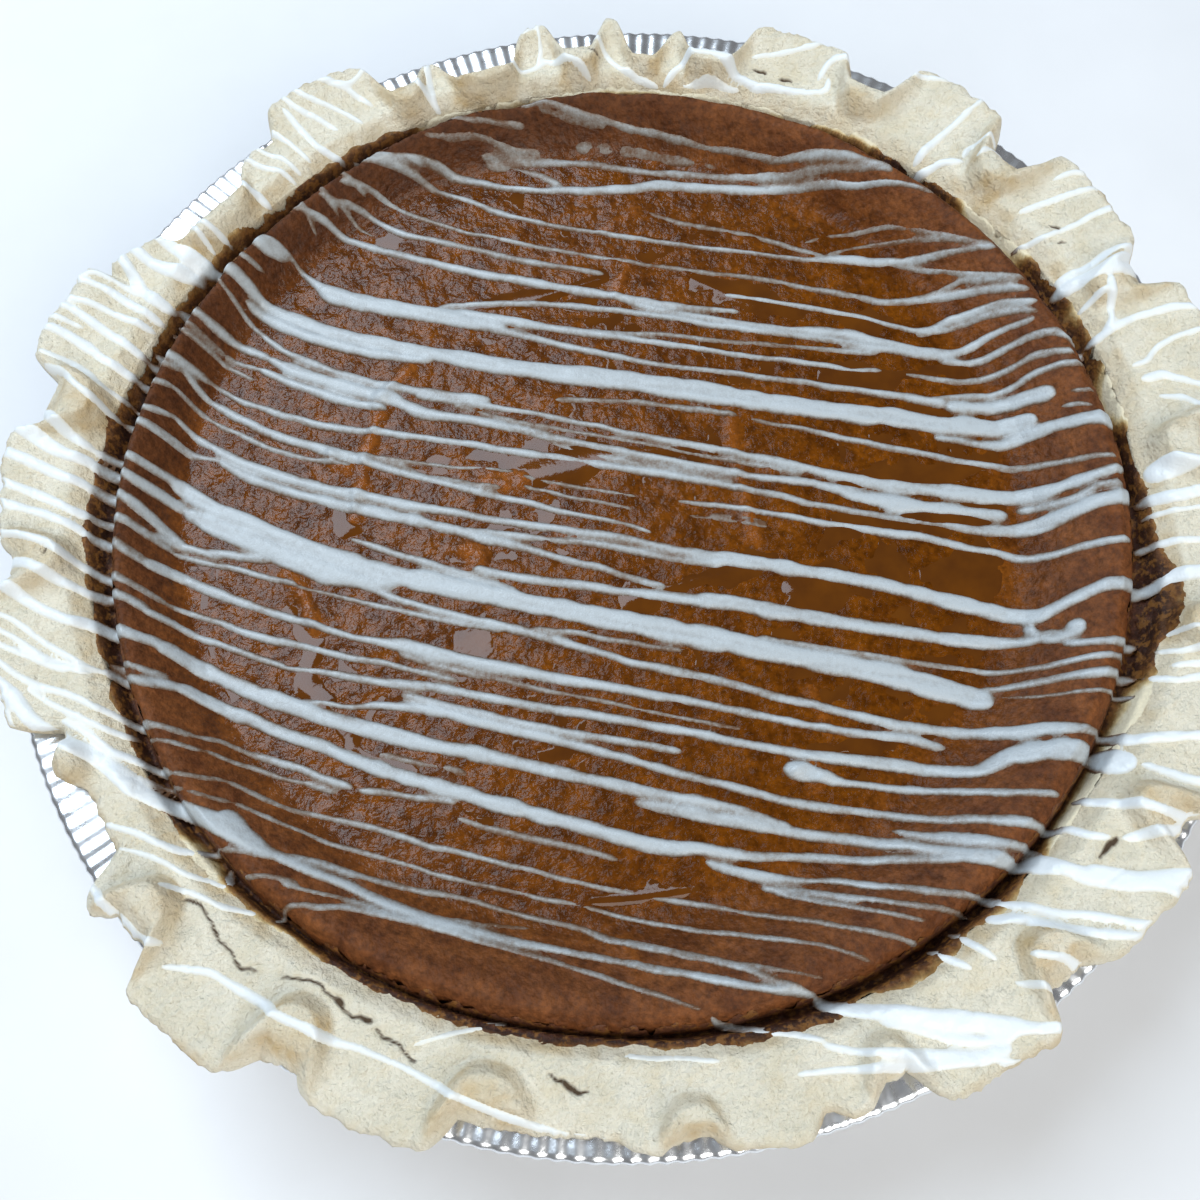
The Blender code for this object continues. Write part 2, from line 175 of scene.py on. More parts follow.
# Icing on the filling: how solid a strand is, then its middle line as x, level and width.
# Level is the distance in Y from the sweep that all the strands share.
SWEEP = (
    (-105.0, 44.3), (-100.0, 41.4), (-90.0, 35.8), (-80.0, 30.45), (-70.0, 25.4), (-60.0, 20.75),
    (-50.0, 16.45), (-40.0, 12.5), (-30.0, 8.95), (-20.0, 5.75), (-10.0, 2.8), (0.0, 0.0), (10.0, -2.7),
    (20.0, -5.25), (30.0, -7.7), (40.0, -10.1), (50.0, -12.4), (60.0, -14.65), (70.0, -16.6),
    (80.0, -18.05), (90.0, -19.1), (100.0, -19.75),
)
DRIZZLE = (
    # far side
    (0.75, ((-16, 93.9, 1), (-10, 95.5, 1.2), (0, 95.7, 1.2), (10, 96.3, 1.2), (20, 96, 1.2), (30, 95, 1.2),
            (36, 94.2, 1.2), (41, 93.2, 1.4), (50, 93.3, 2), (57, 92.5, 2), (62, 90.8, 1.8), (65, 89.5, 1.2))),
    (0.5, ((-12, 94, 0.9), (-6, 94.4, 1), (3, 94.8, 0.9))),
    (0.6, ((-26, 83, 1.2), (-20, 85.3, 1.5), (-10, 87.2, 2), (0, 88.9, 2), (10, 88.6, 2), (20, 89.8, 2),
           (30, 90.2, 2), (40, 90.4, 2), (50, 90.7, 1.8), (60, 90.2, 1.6), (65, 88.8, 1.2))),
    (0.3, ((-4, 91.5, 2), (8, 93, 2), (20, 93, 1.6), (28, 92, 1.2))),
    (1.0, ((-52, 70.5, 1), (-46, 72.6, 1.2), (-40, 75.5, 1.4), (-35, 77.2, 1.8), (-30, 78.1, 2),
           (-20, 78.3, 2), (-10, 79.5, 2), (0, 81.5, 2.5), (8, 83.6, 3), (15, 85.6, 3), (25, 86.5, 3),
           (35, 87.4, 2.6), (42, 88.3, 2), (50, 88.2, 1.6), (60, 87.2, 1.4), (68, 85.6, 1.2), (73, 83.4, 1.2))),
    (0.55, ((-25, 82.4, 1.4), (-17, 84, 1.6), (-14, 83.7, 2), (-11, 82.8, 2), (-8, 81.2, 2))),
    (0.55, ((-36, 84.2, 1), (-29, 86.2, 1.2), (-22, 88.6, 1.2), (-15, 91, 1.2))),
    (0.5, ((-38, 80, 1), (-33, 82, 1.2), (-24, 85.9, 1.2), (-18, 86.8, 1.4), (-12, 88.4, 1.4))),
    (0.45, ((45, 74.5, 1), (50, 76.7, 1), (55, 78.2, 1.2), (60, 79.4, 1.2), (64, 78.6, 1.1), (70, 76.6, 1.1),
            (76, 73.8, 1.1), (82, 71, 1))),
    (0.6, ((50, 72.4, 1), (54, 73.8, 1.1), (60, 76, 1.2), (64, 76, 1.2), (70, 74.9, 1.2), (77, 73, 1.2),
           (84, 71, 1))),
    (1.0, ((-56, 67, 1.2), (-50, 69.9, 1.4), (-45, 72, 1.5), (-40, 73.3, 1.6), (-34.5, 73.4, 1.6),
           (-28.6, 72.3, 1.8), (-23, 71, 2), (-20, 70.4, 1.6), (-10, 69.7, 1.4), (0, 70.1, 1.4),
           (20, 69.9, 1.4), (40, 70, 1.4), (47, 70, 1.6), (50, 70.5, 2.4), (57, 71.4, 2.8), (63, 71.5, 2.2),
           (70, 71, 1.8), (77, 70.9, 1.6), (84, 70.4, 1.4))),
    (0.5, ((10, 78, 1), (14, 77, 1.2), (18, 76, 1.5), (27, 75.6, 1.5), (33, 75, 1.4), (40, 73.7, 1.4),
           (46, 71.9, 1.6), (50, 70.8, 1.6))),
    (0.8, ((62, 71.5, 1), (67, 69.9, 1.2), (71, 68.4, 1.2), (76, 66.6, 1.2), (80, 65.2, 1.2), (85, 63.6, 1.2),
           (89, 62, 1.2))),
    (0.75, ((-57, 62, 1.2), (-53, 64, 1.3), (-50, 65, 1.4), (-46, 65.7, 1.6), (-42, 64.9, 1.5), (-37, 64, 1.5),
            (-30, 63.4, 1.4), (-15, 63.3, 1.3), (0, 63.3, 1.3), (15, 63.2, 1.4), (28, 63.5, 1.3),
            (38, 63.3, 1.3), (46, 62.3, 1.6), (55, 61.6, 1.8), (60, 61, 1.8), (64, 61.6, 2), (70, 62.7, 2.2),
            (76, 62.6, 2), (82, 61.6, 1.8), (89, 60, 1.6))),
    (0.7, ((66, 62.5, 1.2), (72, 64, 1.3), (77, 64.9, 1.4), (82, 63.8, 1.4), (87, 61.8, 1.3))),
    (1.0, ((-60, 56.5, 1.2), (-56, 59.5, 1.4), (-52, 60.8, 1.5), (-48, 60, 1.6), (-44, 59.2, 1.8),
           (-30, 59.1, 1.8), (-15, 58.9, 1.8), (0.5, 58.9, 1.6))),
    (0.7, ((-62, 56.4, 1), (-58, 58.2, 1.2), (-53.5, 57.2, 1.2), (-50.5, 56.3, 1))),
    (1.0, ((26, 57.8, 1.3), (32, 57.8, 1.7), (40, 57.3, 1.6), (50, 57, 1.5), (56, 56.4, 1.4), (61, 55.2, 1.5),
           (66, 54, 1.8), (70, 54.8, 2.2), (74, 57.2, 2.2), (79, 58.2, 2), (84, 58, 1.8), (90, 57, 1.6))),
    (0.9, ((66, 52.6, 1.4), (71, 54.4, 1.5), (75, 55.5, 1.5), (80, 56.3, 1.6), (85, 56, 1.6), (90, 54.8, 1.5))),
    (1.0, ((-68, 50.3, 1.2), (-65, 52, 1.4), (-61, 53.5, 1.8), (-56, 53.4, 2), (-45, 53, 2.1), (-30, 53.1, 2.3),
           (-15, 53.3, 2.5), (-2, 53.3, 2.4), (8, 53.1, 2.2), (18, 53.4, 1.8), (29, 54, 1.5))),
    (1.0, ((4, 52.4, 1.2), (10, 51.6, 1.6), (20, 51.2, 1.7), (30, 51, 1.7), (40, 51, 1.8), (46, 51.6, 2.6),
           (52, 51.8, 3), (57, 51, 2.6), (62, 50, 2), (67, 49.2, 2.2), (71, 49.4, 2.6))),
    (1.0, ((-37, 41.2, 1.5), (-34, 43, 1.8), (-30, 44.3, 1.8), (-23, 46, 1.8), (-14, 48.1, 1.8), (-5, 49.3, 1.8),
           (3, 50, 1.8), (12, 49.9, 1.8), (25, 49.6, 1.8), (40, 49.9, 1.8), (50, 49.8, 2), (57, 49.2, 2.6),
           (62, 48.9, 2.6), (68, 48.4, 3), (72, 48.6, 2.6), (76, 50.2, 2.2), (80, 52, 2), (84, 53.1, 1.8),
           (89, 53.2, 1.6))),
    (0.6, ((-4, 43.6, 1), (3, 44.2, 1.2), (10, 45.1, 1.3), (20, 45.8, 1.3), (30, 46.2, 1.3), (40, 46.9, 1.3),
           (50, 47.4, 1.4), (58, 48, 1.6))),
    # upper middle
    (1.0, ((-70, 42.5, 1.2), (-66, 40.3, 1.6), (-63, 38.5, 2.4), (-60, 37.3, 4.4), (-50, 38, 4.6),
           (-40, 38.9, 4.2), (-34, 39.6, 4.2), (-28, 40, 3.6), (-22, 40.6, 3))),
    (1.0, ((-36, 41, 2), (-30, 41.6, 2.4), (-20, 41.9, 2.6), (-10, 42.3, 2.4), (0, 42.8, 2), (10, 43.1, 1.6),
           (20, 42.9, 1.5), (30, 42.9, 1.5), (40, 43, 1.5), (50, 42.6, 1.6), (58, 43.2, 1.4))),
    (1.0, ((-26, 39.2, 2.2), (-20, 38.9, 2.3), (-10, 38.3, 2), (0, 38, 1.8), (10, 37.6, 1.5), (20, 37.9, 1.5),
           (30, 38.1, 1.5), (40, 38, 1.8), (50, 37.8, 2), (58, 37.8, 2.2), (64, 37.4, 2.2), (70, 36.8, 2.4))),
    (0.9, ((70, 47.5, 2.4), (75, 47.1, 2), (79, 47.7, 2), (84, 48.9, 2), (88, 49.9, 2), (92, 49.7, 2),
           (96, 47.3, 1.8), (99, 45.7, 1.6))),
    (0.85, ((62, 43, 1), (68, 42.4, 1.4), (74, 42.3, 1.8), (79, 43.3, 1.8), (84, 44.2, 1.8), (88, 45.6, 1.8),
            (93, 45.1, 1.8), (95.5, 44.2, 1.5))),
    (0.85, ((66, 37.6, 1.4), (71, 38.2, 1.6), (76, 38.9, 1.8), (79.5, 39.1, 1.8), (84, 40.1, 1.8),
            (88, 41.9, 1.8), (92, 42.2, 1.8), (95.5, 41.7, 1.6), (97.5, 41.8, 1.4))),
    (1.0, ((70, 36.2, 2.6), (75, 35.9, 3.2), (80, 36.4, 3.4), (86, 37, 3.4), (90, 36.6, 5))),
    (0.8, ((92.8, 36, 1.2), (96, 35.5, 1.2), (98, 35.4, 1.2))),
    (0.8, ((91, 33.5, 1.2), (94, 32.9, 1.2), (96.7, 31.7, 1.2))),
    (1.0, ((-76, 28.6, 2), (-72, 28.2, 3), (-60, 27.6, 3.4), (-50, 28.2, 3.2), (-40, 29.2, 3.4), (-30, 30, 4),
           (-20, 30.2, 4.2), (-10, 31, 5), (0, 32.1, 5), (20, 32, 5), (40, 31.6, 4.5), (52, 31.8, 4.4),
           (57, 32.4, 4.6), (63, 32.2, 4.4), (68, 31.4, 4.6), (74, 31.8, 4.4), (79.5, 31.4, 4.4),
           (84, 31.7, 4), (86.5, 31.6, 3.4))),
    (1.0, ((-78, 26, 2), (-72, 25.2, 3), (-65, 24.6, 3.4), (-60, 24.8, 3.4), (-50, 25.6, 3), (-43, 26.6, 2.6),
           (-38, 27.6, 1.8))),
    (0.8, ((-13, 24.1, 1), (-10, 25, 1.4), (-5, 25.7, 1.4), (0, 26.4, 1.4), (5, 27, 1.6), (10, 27.3, 1.6),
           (20, 27.7, 1.6), (26, 27.3, 1.4))),
    (0.9, ((28, 27, 1), (40, 26.4, 1.4), (50, 25.4, 1.8), (60, 24.6, 1.8), (70, 23, 1.8), (80, 22, 1.7),
           (90, 21.2, 1.6), (99, 20.1, 1.5))),
    (1.0, ((66, 28.4, 1.4), (74, 27.8, 2), (79, 27.4, 2.6), (84, 28.9, 3), (88, 29.4, 3), (93, 29.3, 3),
           (98, 29, 3.4), (100.5, 28.1, 3.6))),
    (1.0, ((-84, 26.5, 1), (-78, 22.3, 1.4), (-74, 20, 1.6), (-70, 18.6, 1.8), (-65, 17.9, 2), (-60, 17.5, 2),
           (-50, 18, 2.2), (-44, 18.8, 2.3), (-40, 19.1, 2.5), (-30, 20.7, 2.4), (-26, 21.2, 1.8))),
    (1.0, ((-42, 17.4, 1.6), (-36, 18.3, 1.6), (-30, 19, 1.6), (-20, 19.9, 1.5), (-10, 20, 1.6), (0, 19.4, 1.7),
           (10, 18.7, 1.8), (20, 18.5, 2), (30, 18.1, 2), (40, 16.8, 2.3), (50, 16, 3), (60, 15.8, 3.2),
           (70, 15.6, 3.6), (78, 15.2, 3.8), (85, 15, 3.4), (90, 16.2, 2.8), (95, 17, 2.4), (100, 17.9, 2.2))),
    (0.7, ((-34, 17.2, 1), (-20, 17.3, 1.2), (-10, 17.4, 1.2), (0, 17.2, 1.2), (10, 16.9, 1.2), (20, 16.4, 1.2),
           (30, 16, 1.4), (38, 15.6, 1.4))),
    (1.0, ((-74, 15.6, 2), (-68, 14.8, 3), (-60, 14.6, 3.4), (-52, 14.8, 3.2), (-46, 15, 3), (-40, 13.9, 3),
           (-30, 15.2, 2.4), (-20, 15.5, 2.3), (-10, 15, 2), (0, 14.6, 2), (10, 14.2, 2), (20, 13.8, 1.8),
           (30, 13.5, 2), (40, 13.8, 2.1), (45, 13.2, 2.6), (50, 12.4, 3), (56, 11.8, 4.4), (62, 11.9, 2.8),
           (70, 11.6, 3), (78, 11, 3))),
    (1.0, ((-76, 12, 1.4), (-70, 11.4, 2.4), (-62, 11.2, 2.8), (-54, 11.6, 2.4), (-48, 12.4, 1.6))),
    (0.7, ((-14, 13.4, 1), (-6, 12.6, 1.6), (4, 12.3, 2), (14, 12.2, 2), (24, 12, 1.4))),
    (1.0, ((-86, 3.6, 1.2), (-80, 2.5, 1.6), (-70, 2.8, 2), (-60, 4, 2), (-55, 5, 2), (-50, 6.4, 2),
           (-40, 8.2, 1.8), (-30, 9.3, 1.9), (-20, 10.1, 2.2), (-10, 10.4, 2.1), (0, 10.3, 2), (10, 10.8, 2),
           (20, 10.7, 2), (30, 9.8, 1.8), (40, 9, 1.7), (50, 8.4, 1.8), (60, 8, 1.9), (70, 7.6, 2),
           (77, 7.6, 3), (83, 8.2, 3.6), (88, 9.4, 3.2), (93, 10.8, 3.4), (98, 11.2, 3.6), (100.5, 12.2, 3))),
    (1.0, ((80, 12.2, 2.2), (86, 12.2, 2.2), (90, 12.6, 2), (94, 14.5, 2), (99, 14.3, 1.8))),
    (0.8, ((-58, -1, 1), (-52, -0.2, 1.2), (-47, 0.8, 1.2), (-40, 2, 1.2), (-35, 2.8, 1.2), (-30, 3.8, 1.2),
           (-25, 4.8, 1.1), (-21.5, 5.1, 0.9))),
    (0.8, ((-20, 4.3, 1.2), (-10, 4.2, 1.2), (0, 4.3, 1), (4, 4.5, 0.8))),
    (1.0, ((11, 5, 1), (20, 5.7, 1.4), (30, 5.4, 1.4), (40, 4.8, 1.8), (50, 4.9, 2), (60, 4.6, 2), (66, 4, 2),
           (70, 3.4, 2), (75, 2.5, 2), (80, 1.4, 2.2), (84, 1, 2.2), (88.5, 1.9, 2), (93, 2.2, 2), (98, 2.1, 2))),
    (0.5, ((18, 3.6, 0.9), (30, 3.1, 0.9))),
    # lower middle
    (0.7, ((-20, 2, 1), (-10, 1.6, 1.2), (0, 1.4, 1.2), (3, 1.4, 0.9))),
    (0.5, ((11, 2.2, 0.9), (20, 2.2, 1), (30, 2.3, 0.9))),
    (1.0, ((-90, 1.4, 1.4), (-87, -0.6, 1.8), (-80, -2.1, 2.2), (-70, -2.6, 2.3), (-60, -1.7, 2.8),
           (-50, -1.6, 2.3), (-40, -1.5, 1.8), (-30, -1.5, 2), (-20, -1.5, 1.8), (-10, -2.2, 1.3),
           (0, -2.4, 1.1), (6, -3.2, 1))),
    (0.6, ((-50, 0.6, 1), (-40, -0.6, 1.2), (-30, 0, 1.4), (-24, 0.6, 1.2))),
    (1.0, ((-92, -3.6, 1.2), (-89, -4.4, 1.3), (-83, -5.5, 1.5), (-78, -6, 1.6), (-73, -6.2, 1.6),
           (-69, -5.8, 1.5), (-65, -5.5, 1.4), (-60, -4.4, 1.3), (-55, -3.4, 1.2))),
    (1.0, ((-92, -9.5, 1.4), (-88, -11, 2), (-80, -12.1, 2.4), (-70, -11.7, 2.6), (-60, -10.8, 2.6),
           (-50, -9.4, 2.6), (-42, -8.5, 2.6), (-38, -7.8, 2.2), (-30, -7.4, 2), (-20, -6.5, 2), (-10, -6, 2),
           (0, -5.9, 2), (10, -6.1, 2.1), (20, -6.4, 3), (30, -6.3, 3.4), (40, -6.7, 3.2), (50, -7.1, 3.2),
           (60, -8.3, 3.2), (65, -9, 3.4), (70, -10, 3.6), (75, -11.2, 3.6), (79, -11.9, 3.6), (83, -10, 3),
           (87, -8.5, 2.8), (91.5, -6.9, 2.8), (95.5, -7.2, 3), (99.4, -7.5, 3))),
    (1.0, ((77.5, -12.6, 2.2), (77.2, -15, 2.2), (80, -17, 2.6), (84, -16, 3), (85.5, -13.4, 4))),
    (1.0, ((-84, -14, 1.6), (-78, -14.7, 2.4), (-70, -14.6, 2.6), (-60, -13.8, 2.8), (-50, -12.4, 2.8),
           (-44, -11.8, 2.8), (-38, -11.7, 2.6), (-30, -11.8, 2.8), (-20, -12, 2.1), (-10, -12.9, 1.9),
           (0, -13.9, 1.7), (8, -15, 1.9))),
    (0.9, ((-33, -11, 1.6), (-28, -10.3, 1.8), (-22, -9.7, 1.8), (-16, -9, 1.8), (-10, -8.3, 1.8),
           (0, -8.1, 1.8), (10, -8.2, 2), (20, -7.8, 2))),
    (1.0, ((-31, -19.5, 1.8), (-29, -19.3, 2.2), (-20, -18.8, 2.2), (-10, -18.1, 2.2), (0, -17.5, 2.3),
           (10, -16.9, 2.7), (20, -16, 3.8), (30, -16.4, 3.4), (40, -16.4, 3.2), (50, -16.8, 3),
           (60, -17.1, 2.8), (70, -17, 2.8), (76, -16.6, 2.6), (82, -15.4, 2.4))),
    (0.9, ((82, -18.3, 2), (90, -18.4, 2), (96, -18.2, 2))),
    (1.0, ((-92, -23.6, 3), (-88, -24.8, 4), (-84, -25.4, 3.4), (-80, -25, 3.4), (-72, -25.2, 3.2),
           (-66, -26, 4.6), (-60, -26.4, 5.4), (-50, -25.8, 5), (-40, -24.8, 4.6), (-30, -24.3, 4.4),
           (-20, -24.1, 4.4), (-10, -24, 4.4), (0, -24, 4.6), (10, -24.2, 5), (20, -24.5, 5), (30, -25.2, 4.6),
           (40, -25.6, 4.6), (50, -26.3, 5), (57, -27.3, 5.2), (63, -28.5, 4.8), (67.5, -29.5, 4.4))),
    (1.0, ((-90, -28.6, 3), (-84, -29.2, 4), (-76, -28.9, 4.6), (-68, -29.4, 5), (-60, -29.8, 5),
           (-53, -29, 3.4), (-46, -27.6, 2))),
    (0.9, ((-56, -20.4, 1.2), (-50, -20.3, 1.8), (-40, -20.6, 2), (-30, -21.4, 1.8), (-22, -22, 1.6))),
    (0.9, ((25, -22.3, 1), (40, -22.6, 1.2), (50, -22.9, 1.2), (60, -23.1, 1.3), (70, -23.3, 1.5),
           (78, -23, 1.6), (83, -22, 1.6), (88, -21.2, 1.6), (93, -21.6, 1.6))),
    (0.9, ((66, -27, 1.2), (70, -26.6, 1.8), (76, -25.9, 1.8), (80, -25.5, 2), (85, -25.2, 2.2),
           (90, -24.6, 2.4), (94, -25, 2))),
    (0.8, ((68, -28.6, 0.8), (74, -29, 1), (80, -28.8, 1.2), (88, -28.6, 1.2), (93, -28.8, 1.2))),
    (1.0, ((-56, -30.2, 1.6), (-50, -30.1, 1.7), (-45, -30.6, 1.8), (-40, -30.5, 1.7), (-30, -30.2, 1.9),
           (-20, -30.3, 2.3), (-10, -31.5, 2), (0, -32.4, 2), (10, -32.7, 2.2), (20, -33.4, 2), (30, -34.5, 2),
           (40, -35.4, 2), (50, -36.3, 2.2), (60, -36.3, 2.4), (66, -36.4, 2.8), (70, -36.3, 3.4),
           (75, -35.6, 3), (80, -35.9, 2), (85, -36.6, 1.8), (90, -37, 1.6))),
    (0.8, ((-20, -29.8, 1.5), (-15, -29, 1.5), (-10, -28.4, 1.5), (0, -28.3, 1.3), (10, -27.9, 1.2))),
    (0.9, ((-67, -35.2, 1), (-60, -34.1, 1.1), (-50, -33.3, 1.4), (-40, -32.4, 1.4), (-30, -31.6, 1.3),
           (-25, -31.2, 1.2))),
    (1.0, ((-95, -38, 1.6), (-90, -36.6, 2), (-85, -35.4, 2.2), (-80, -33.8, 2.2), (-75, -32.4, 2.2),
           (-70, -30.6, 2))),
    (1.0, ((-92, -39.4, 1.2), (-88, -38.4, 1.3), (-85, -37.9, 1.4), (-80, -36.8, 1.5), (-75, -36.1, 1.5),
           (-70, -35.4, 1.4), (-66, -35, 1.3))),
    (1.0, ((-96, -45.2, 2.2), (-94, -44.6, 2.6), (-90, -43.6, 2.6), (-80, -43.3, 2.2), (-70, -42.5, 1.8),
           (-60, -42, 1.7), (-55, -41.6, 1.8), (-50, -40.9, 2.2), (-45, -40, 3), (-38, -39.8, 3.4),
           (-30, -39.3, 2.8), (-20, -39, 2.6), (-10, -38.6, 2.4), (0, -38.4, 2.2), (10, -38.4, 2),
           (20, -38.6, 2), (30, -39, 1.8), (40, -39.2, 2), (50, -39, 2.4), (58, -39.6, 2))),
    (0.7, ((-46, -42, 1.4), (-40, -42.2, 1.6), (-30, -41.8, 1.6), (-20, -41.8, 1.3), (-10, -41.6, 1.2),
           (0, -42, 1), (10, -42, 1), (20, -42.2, 1))),
    # near side
    (1.0, ((-92, -51.5, 1.4), (-87, -50, 1.6), (-80, -49.3, 1.6), (-75, -49.1, 1.7), (-70, -48.3, 1.8),
           (-65, -47.2, 1.6), (-60, -46.5, 1.6), (-55, -45.8, 1.5), (-50, -45, 1.5), (-40, -44.1, 1.5),
           (-34, -44, 1.2))),
    (1.0, ((-69, -53.4, 1.2), (-65, -52.1, 1.4), (-60, -50.9, 1.6), (-50, -49.3, 2), (-45, -47.9, 2.2),
           (-40, -47, 2.2), (-30, -46, 2.2), (-20, -45.5, 2.1), (-10, -45, 2.1), (0, -44.8, 2.1),
           (10, -44.7, 2.1), (20, -45, 2), (30, -45.2, 2.2), (40, -44.9, 2.8), (50, -44.5, 3), (57, -44.8, 2.8),
           (62, -44.8, 2.6), (65, -43, 3.4), (68, -41.2, 4), (72, -40.3, 4.4), (77, -40, 4.2), (82, -40.6, 4))),
    (1.0, ((-46, -50.6, 1.4), (-40, -50, 2), (-30, -49.9, 2), (-20, -49.7, 2), (-10, -49.3, 1.8), (0, -49, 1.8),
           (8, -49, 1.6))),
    (1.0, ((27, -48.8, 3.4), (31, -49, 3.6), (35, -49.2, 2.6), (38, -49.5, 1.6), (50, -49.1, 1.8),
           (60, -48.9, 1.7), (70, -48.6, 1.8), (75, -48.8, 1.4))),
    (1.0, ((-66, -58.9, 1), (-60, -57.3, 1.1), (-55, -56, 1.3), (-50, -54, 1.8), (-45, -52.4, 2.3),
           (-40, -51.4, 2.6), (-30, -51.4, 2.6), (-20, -51.3, 2.4), (-10, -51.6, 2), (0, -52.5, 1.9),
           (10, -53.4, 1.9), (20, -54.4, 1.9), (25, -55, 1.8), (33, -55, 2), (40, -54.7, 2), (50, -54.7, 1.8),
           (60, -54.5, 2.2), (65, -54.2, 2.4), (70, -54.8, 2), (75, -55, 1.4))),
    (1.0, ((-95, -55.1, 2), (-90, -54.6, 1.8), (-80, -53.9, 1.6), (-70, -53, 1.6), (-68, -53, 1.4))),
    (1.0, ((-92, -60.5, 3), (-90, -60.3, 3.5), (-80, -60.7, 3.3), (-70, -60.6, 3.8), (-62, -60.3, 3.4),
           (-50, -59.4, 3.4), (-40, -58.6, 3.3), (-30, -58, 3.2), (-20, -57.7, 2.7), (-10, -57.8, 2.6),
           (0, -58, 2.6), (10, -57.8, 2.4), (20, -58.7, 2.1), (27, -60, 2))),
    (1.0, ((-2, -60.4, 1.8), (2, -60.5, 2.6), (10, -60.5, 2.6), (20, -60.7, 2.5), (30, -60.9, 2.5),
           (40, -60.4, 2.5), (48, -60.6, 2.6), (54, -61.4, 3), (60, -61.9, 3), (66, -62, 2.4), (70, -62.4, 1.6))),
    (0.85, ((45, -57.8, 1.2), (52, -58.4, 2.2), (60, -58.9, 3), (66, -58.9, 2.2), (70, -59, 1.4))),
    (1.0, ((-88, -66.9, 2.6), (-84, -66.8, 2.8), (-80, -66.7, 3), (-70, -66.5, 3), (-60, -66.3, 2.8),
           (-50, -66.5, 3), (-40, -66.4, 3), (-30, -66.6, 3.2), (-20, -66.8, 3.2), (-10, -67.5, 3.2),
           (0, -68.2, 3.2), (5, -67.8, 2.8), (10, -67.1, 2.6), (20, -66.6, 2.2), (30, -65, 2), (40, -64.2, 2),
           (50, -63, 2), (56, -62.6, 1.8))),
    (1.0, ((-54, -72.3, 1.4), (-50, -71.2, 1.6), (-45, -70.2, 1.6), (-40, -69.4, 1.6), (-35, -68.6, 1.4))),
    (0.6, ((-56, -64.2, 1.2), (-45, -63.4, 1.6), (-38, -62.7, 1.8), (-33, -62.3, 1.4))),
    (1.0, ((-84, -75.4, 1.3), (-80, -73.8, 1.4), (-75, -73.2, 1.4), (-70, -72.6, 1.8), (-65, -72.3, 1.9),
           (-60, -72.3, 2), (-55, -72.2, 1.8))),
    (0.6, ((-36, -71.6, 1.4), (-30, -71.8, 1.6), (-20, -71.8, 1.6), (-10, -71.8, 1.5), (-5, -72.3, 1.2))),
    (1.0, ((10, -69.4, 1.6), (15, -70, 2.4), (20, -70.4, 2.6), (26, -70, 1.8), (30, -69.2, 1.4),
           (40, -69.1, 1.8), (50, -69.3, 1.7), (56, -69, 1.4), (61, -68.4, 1.2))),
    (0.9, ((20, -72.2, 1.4), (30, -71.9, 1.6), (40, -72.1, 1.4), (50, -72.2, 1.4), (56, -72.3, 1.1))),
    (0.8, ((22, -73, 1), (30, -73.5, 1.2), (40, -74.2, 1.3), (47, -75, 1.1))),
    (0.8, ((-82, -77.2, 1.2), (-80, -76.8, 1.2), (-75, -76.2, 1.2), (-70, -75.7, 1.3), (-65, -75, 1.3),
           (-60, -74.3, 1.3), (-57, -73.8, 1))),
    (0.8, ((-78, -81.3, 1.3), (-75, -81.1, 1.2), (-70, -81.2, 1.2), (-66, -80.9, 1.2), (-60, -79.5, 1.3),
           (-55, -78.8, 1.5), (-50, -78.5, 1.6), (-40, -78.2, 1.4), (-30, -77.9, 1.3), (-20, -77.9, 1.3),
           (-10, -78.2, 1.2), (0, -78, 1.2), (10, -77.6, 1.3), (20, -77.6, 1.3), (30, -77.6, 1.4),
           (40, -78.2, 1.4), (46, -78.8, 1.2))),
    (0.8, ((-76, -84.7, 1.1), (-65, -84.4, 1), (-60, -84.4, 1.1), (-55, -83.8, 1.3), (-50, -83.5, 1.2),
           (-40, -83.2, 1.2), (-30, -82.8, 1.1), (-20, -82.4, 1.1), (-10, -82.3, 1.1), (0, -82.6, 1.2),
           (10, -82.4, 1.2), (20, -81.9, 1.2), (28, -81.9, 1.2), (33, -82.6, 1.2), (37, -83.5, 1))),
    (0.8, ((-66, -90, 1.2), (-60, -88.8, 1.4), (-52, -88.5, 1.4), (-47, -87.9, 1.4), (-40, -86.9, 1.4),
           (-35, -86.4, 1.3), (-30, -86.3, 1.2), (-20, -86.4, 1.2), (-13, -86.6, 1.3), (-8, -87.4, 1.6),
           (0, -87.3, 1.8), (8, -87.5, 1.8), (15, -88.5, 1.5), (20, -89.4, 1.3), (25, -90.3, 1.2))),
    (0.7, ((8, -87.3, 1), (20, -87.6, 1), (28.5, -87.7, 0.9))),
    (1.0, ((-77, -87.5, 3.6), (-74.5, -90, 4.6), (-70, -91, 2.4), (-60, -91.1, 2), (-50, -91.5, 2),
           (-40, -92, 2.2), (-30, -91.9, 2), (-20, -91.5, 1.6), (-10, -91.3, 1.5), (0, -91.2, 1.6),
           (10, -91.1, 1.8), (20, -91, 2), (27, -90.7, 1.6))),
    (0.9, ((-66, -95.8, 1), (-60, -94.7, 1), (-50, -93.3, 1.1), (-43, -92.5, 1.2))),
    (0.9, ((-61, -98, 1.3), (-58, -96.6, 1.4), (-55, -95.4, 1.5), (-50, -94.4, 1.6), (-45, -93.7, 1.6),
           (-40, -93.5, 1.6), (-30, -93.3, 1.3), (-20, -93.8, 1.2), (-10, -94.5, 1.2), (0, -96, 1.1),
           (7, -97, 1))),
    (0.6, ((-37, -90.8, 0.9), (-30, -89.7, 0.9), (-22, -88.8, 0.9))),
)
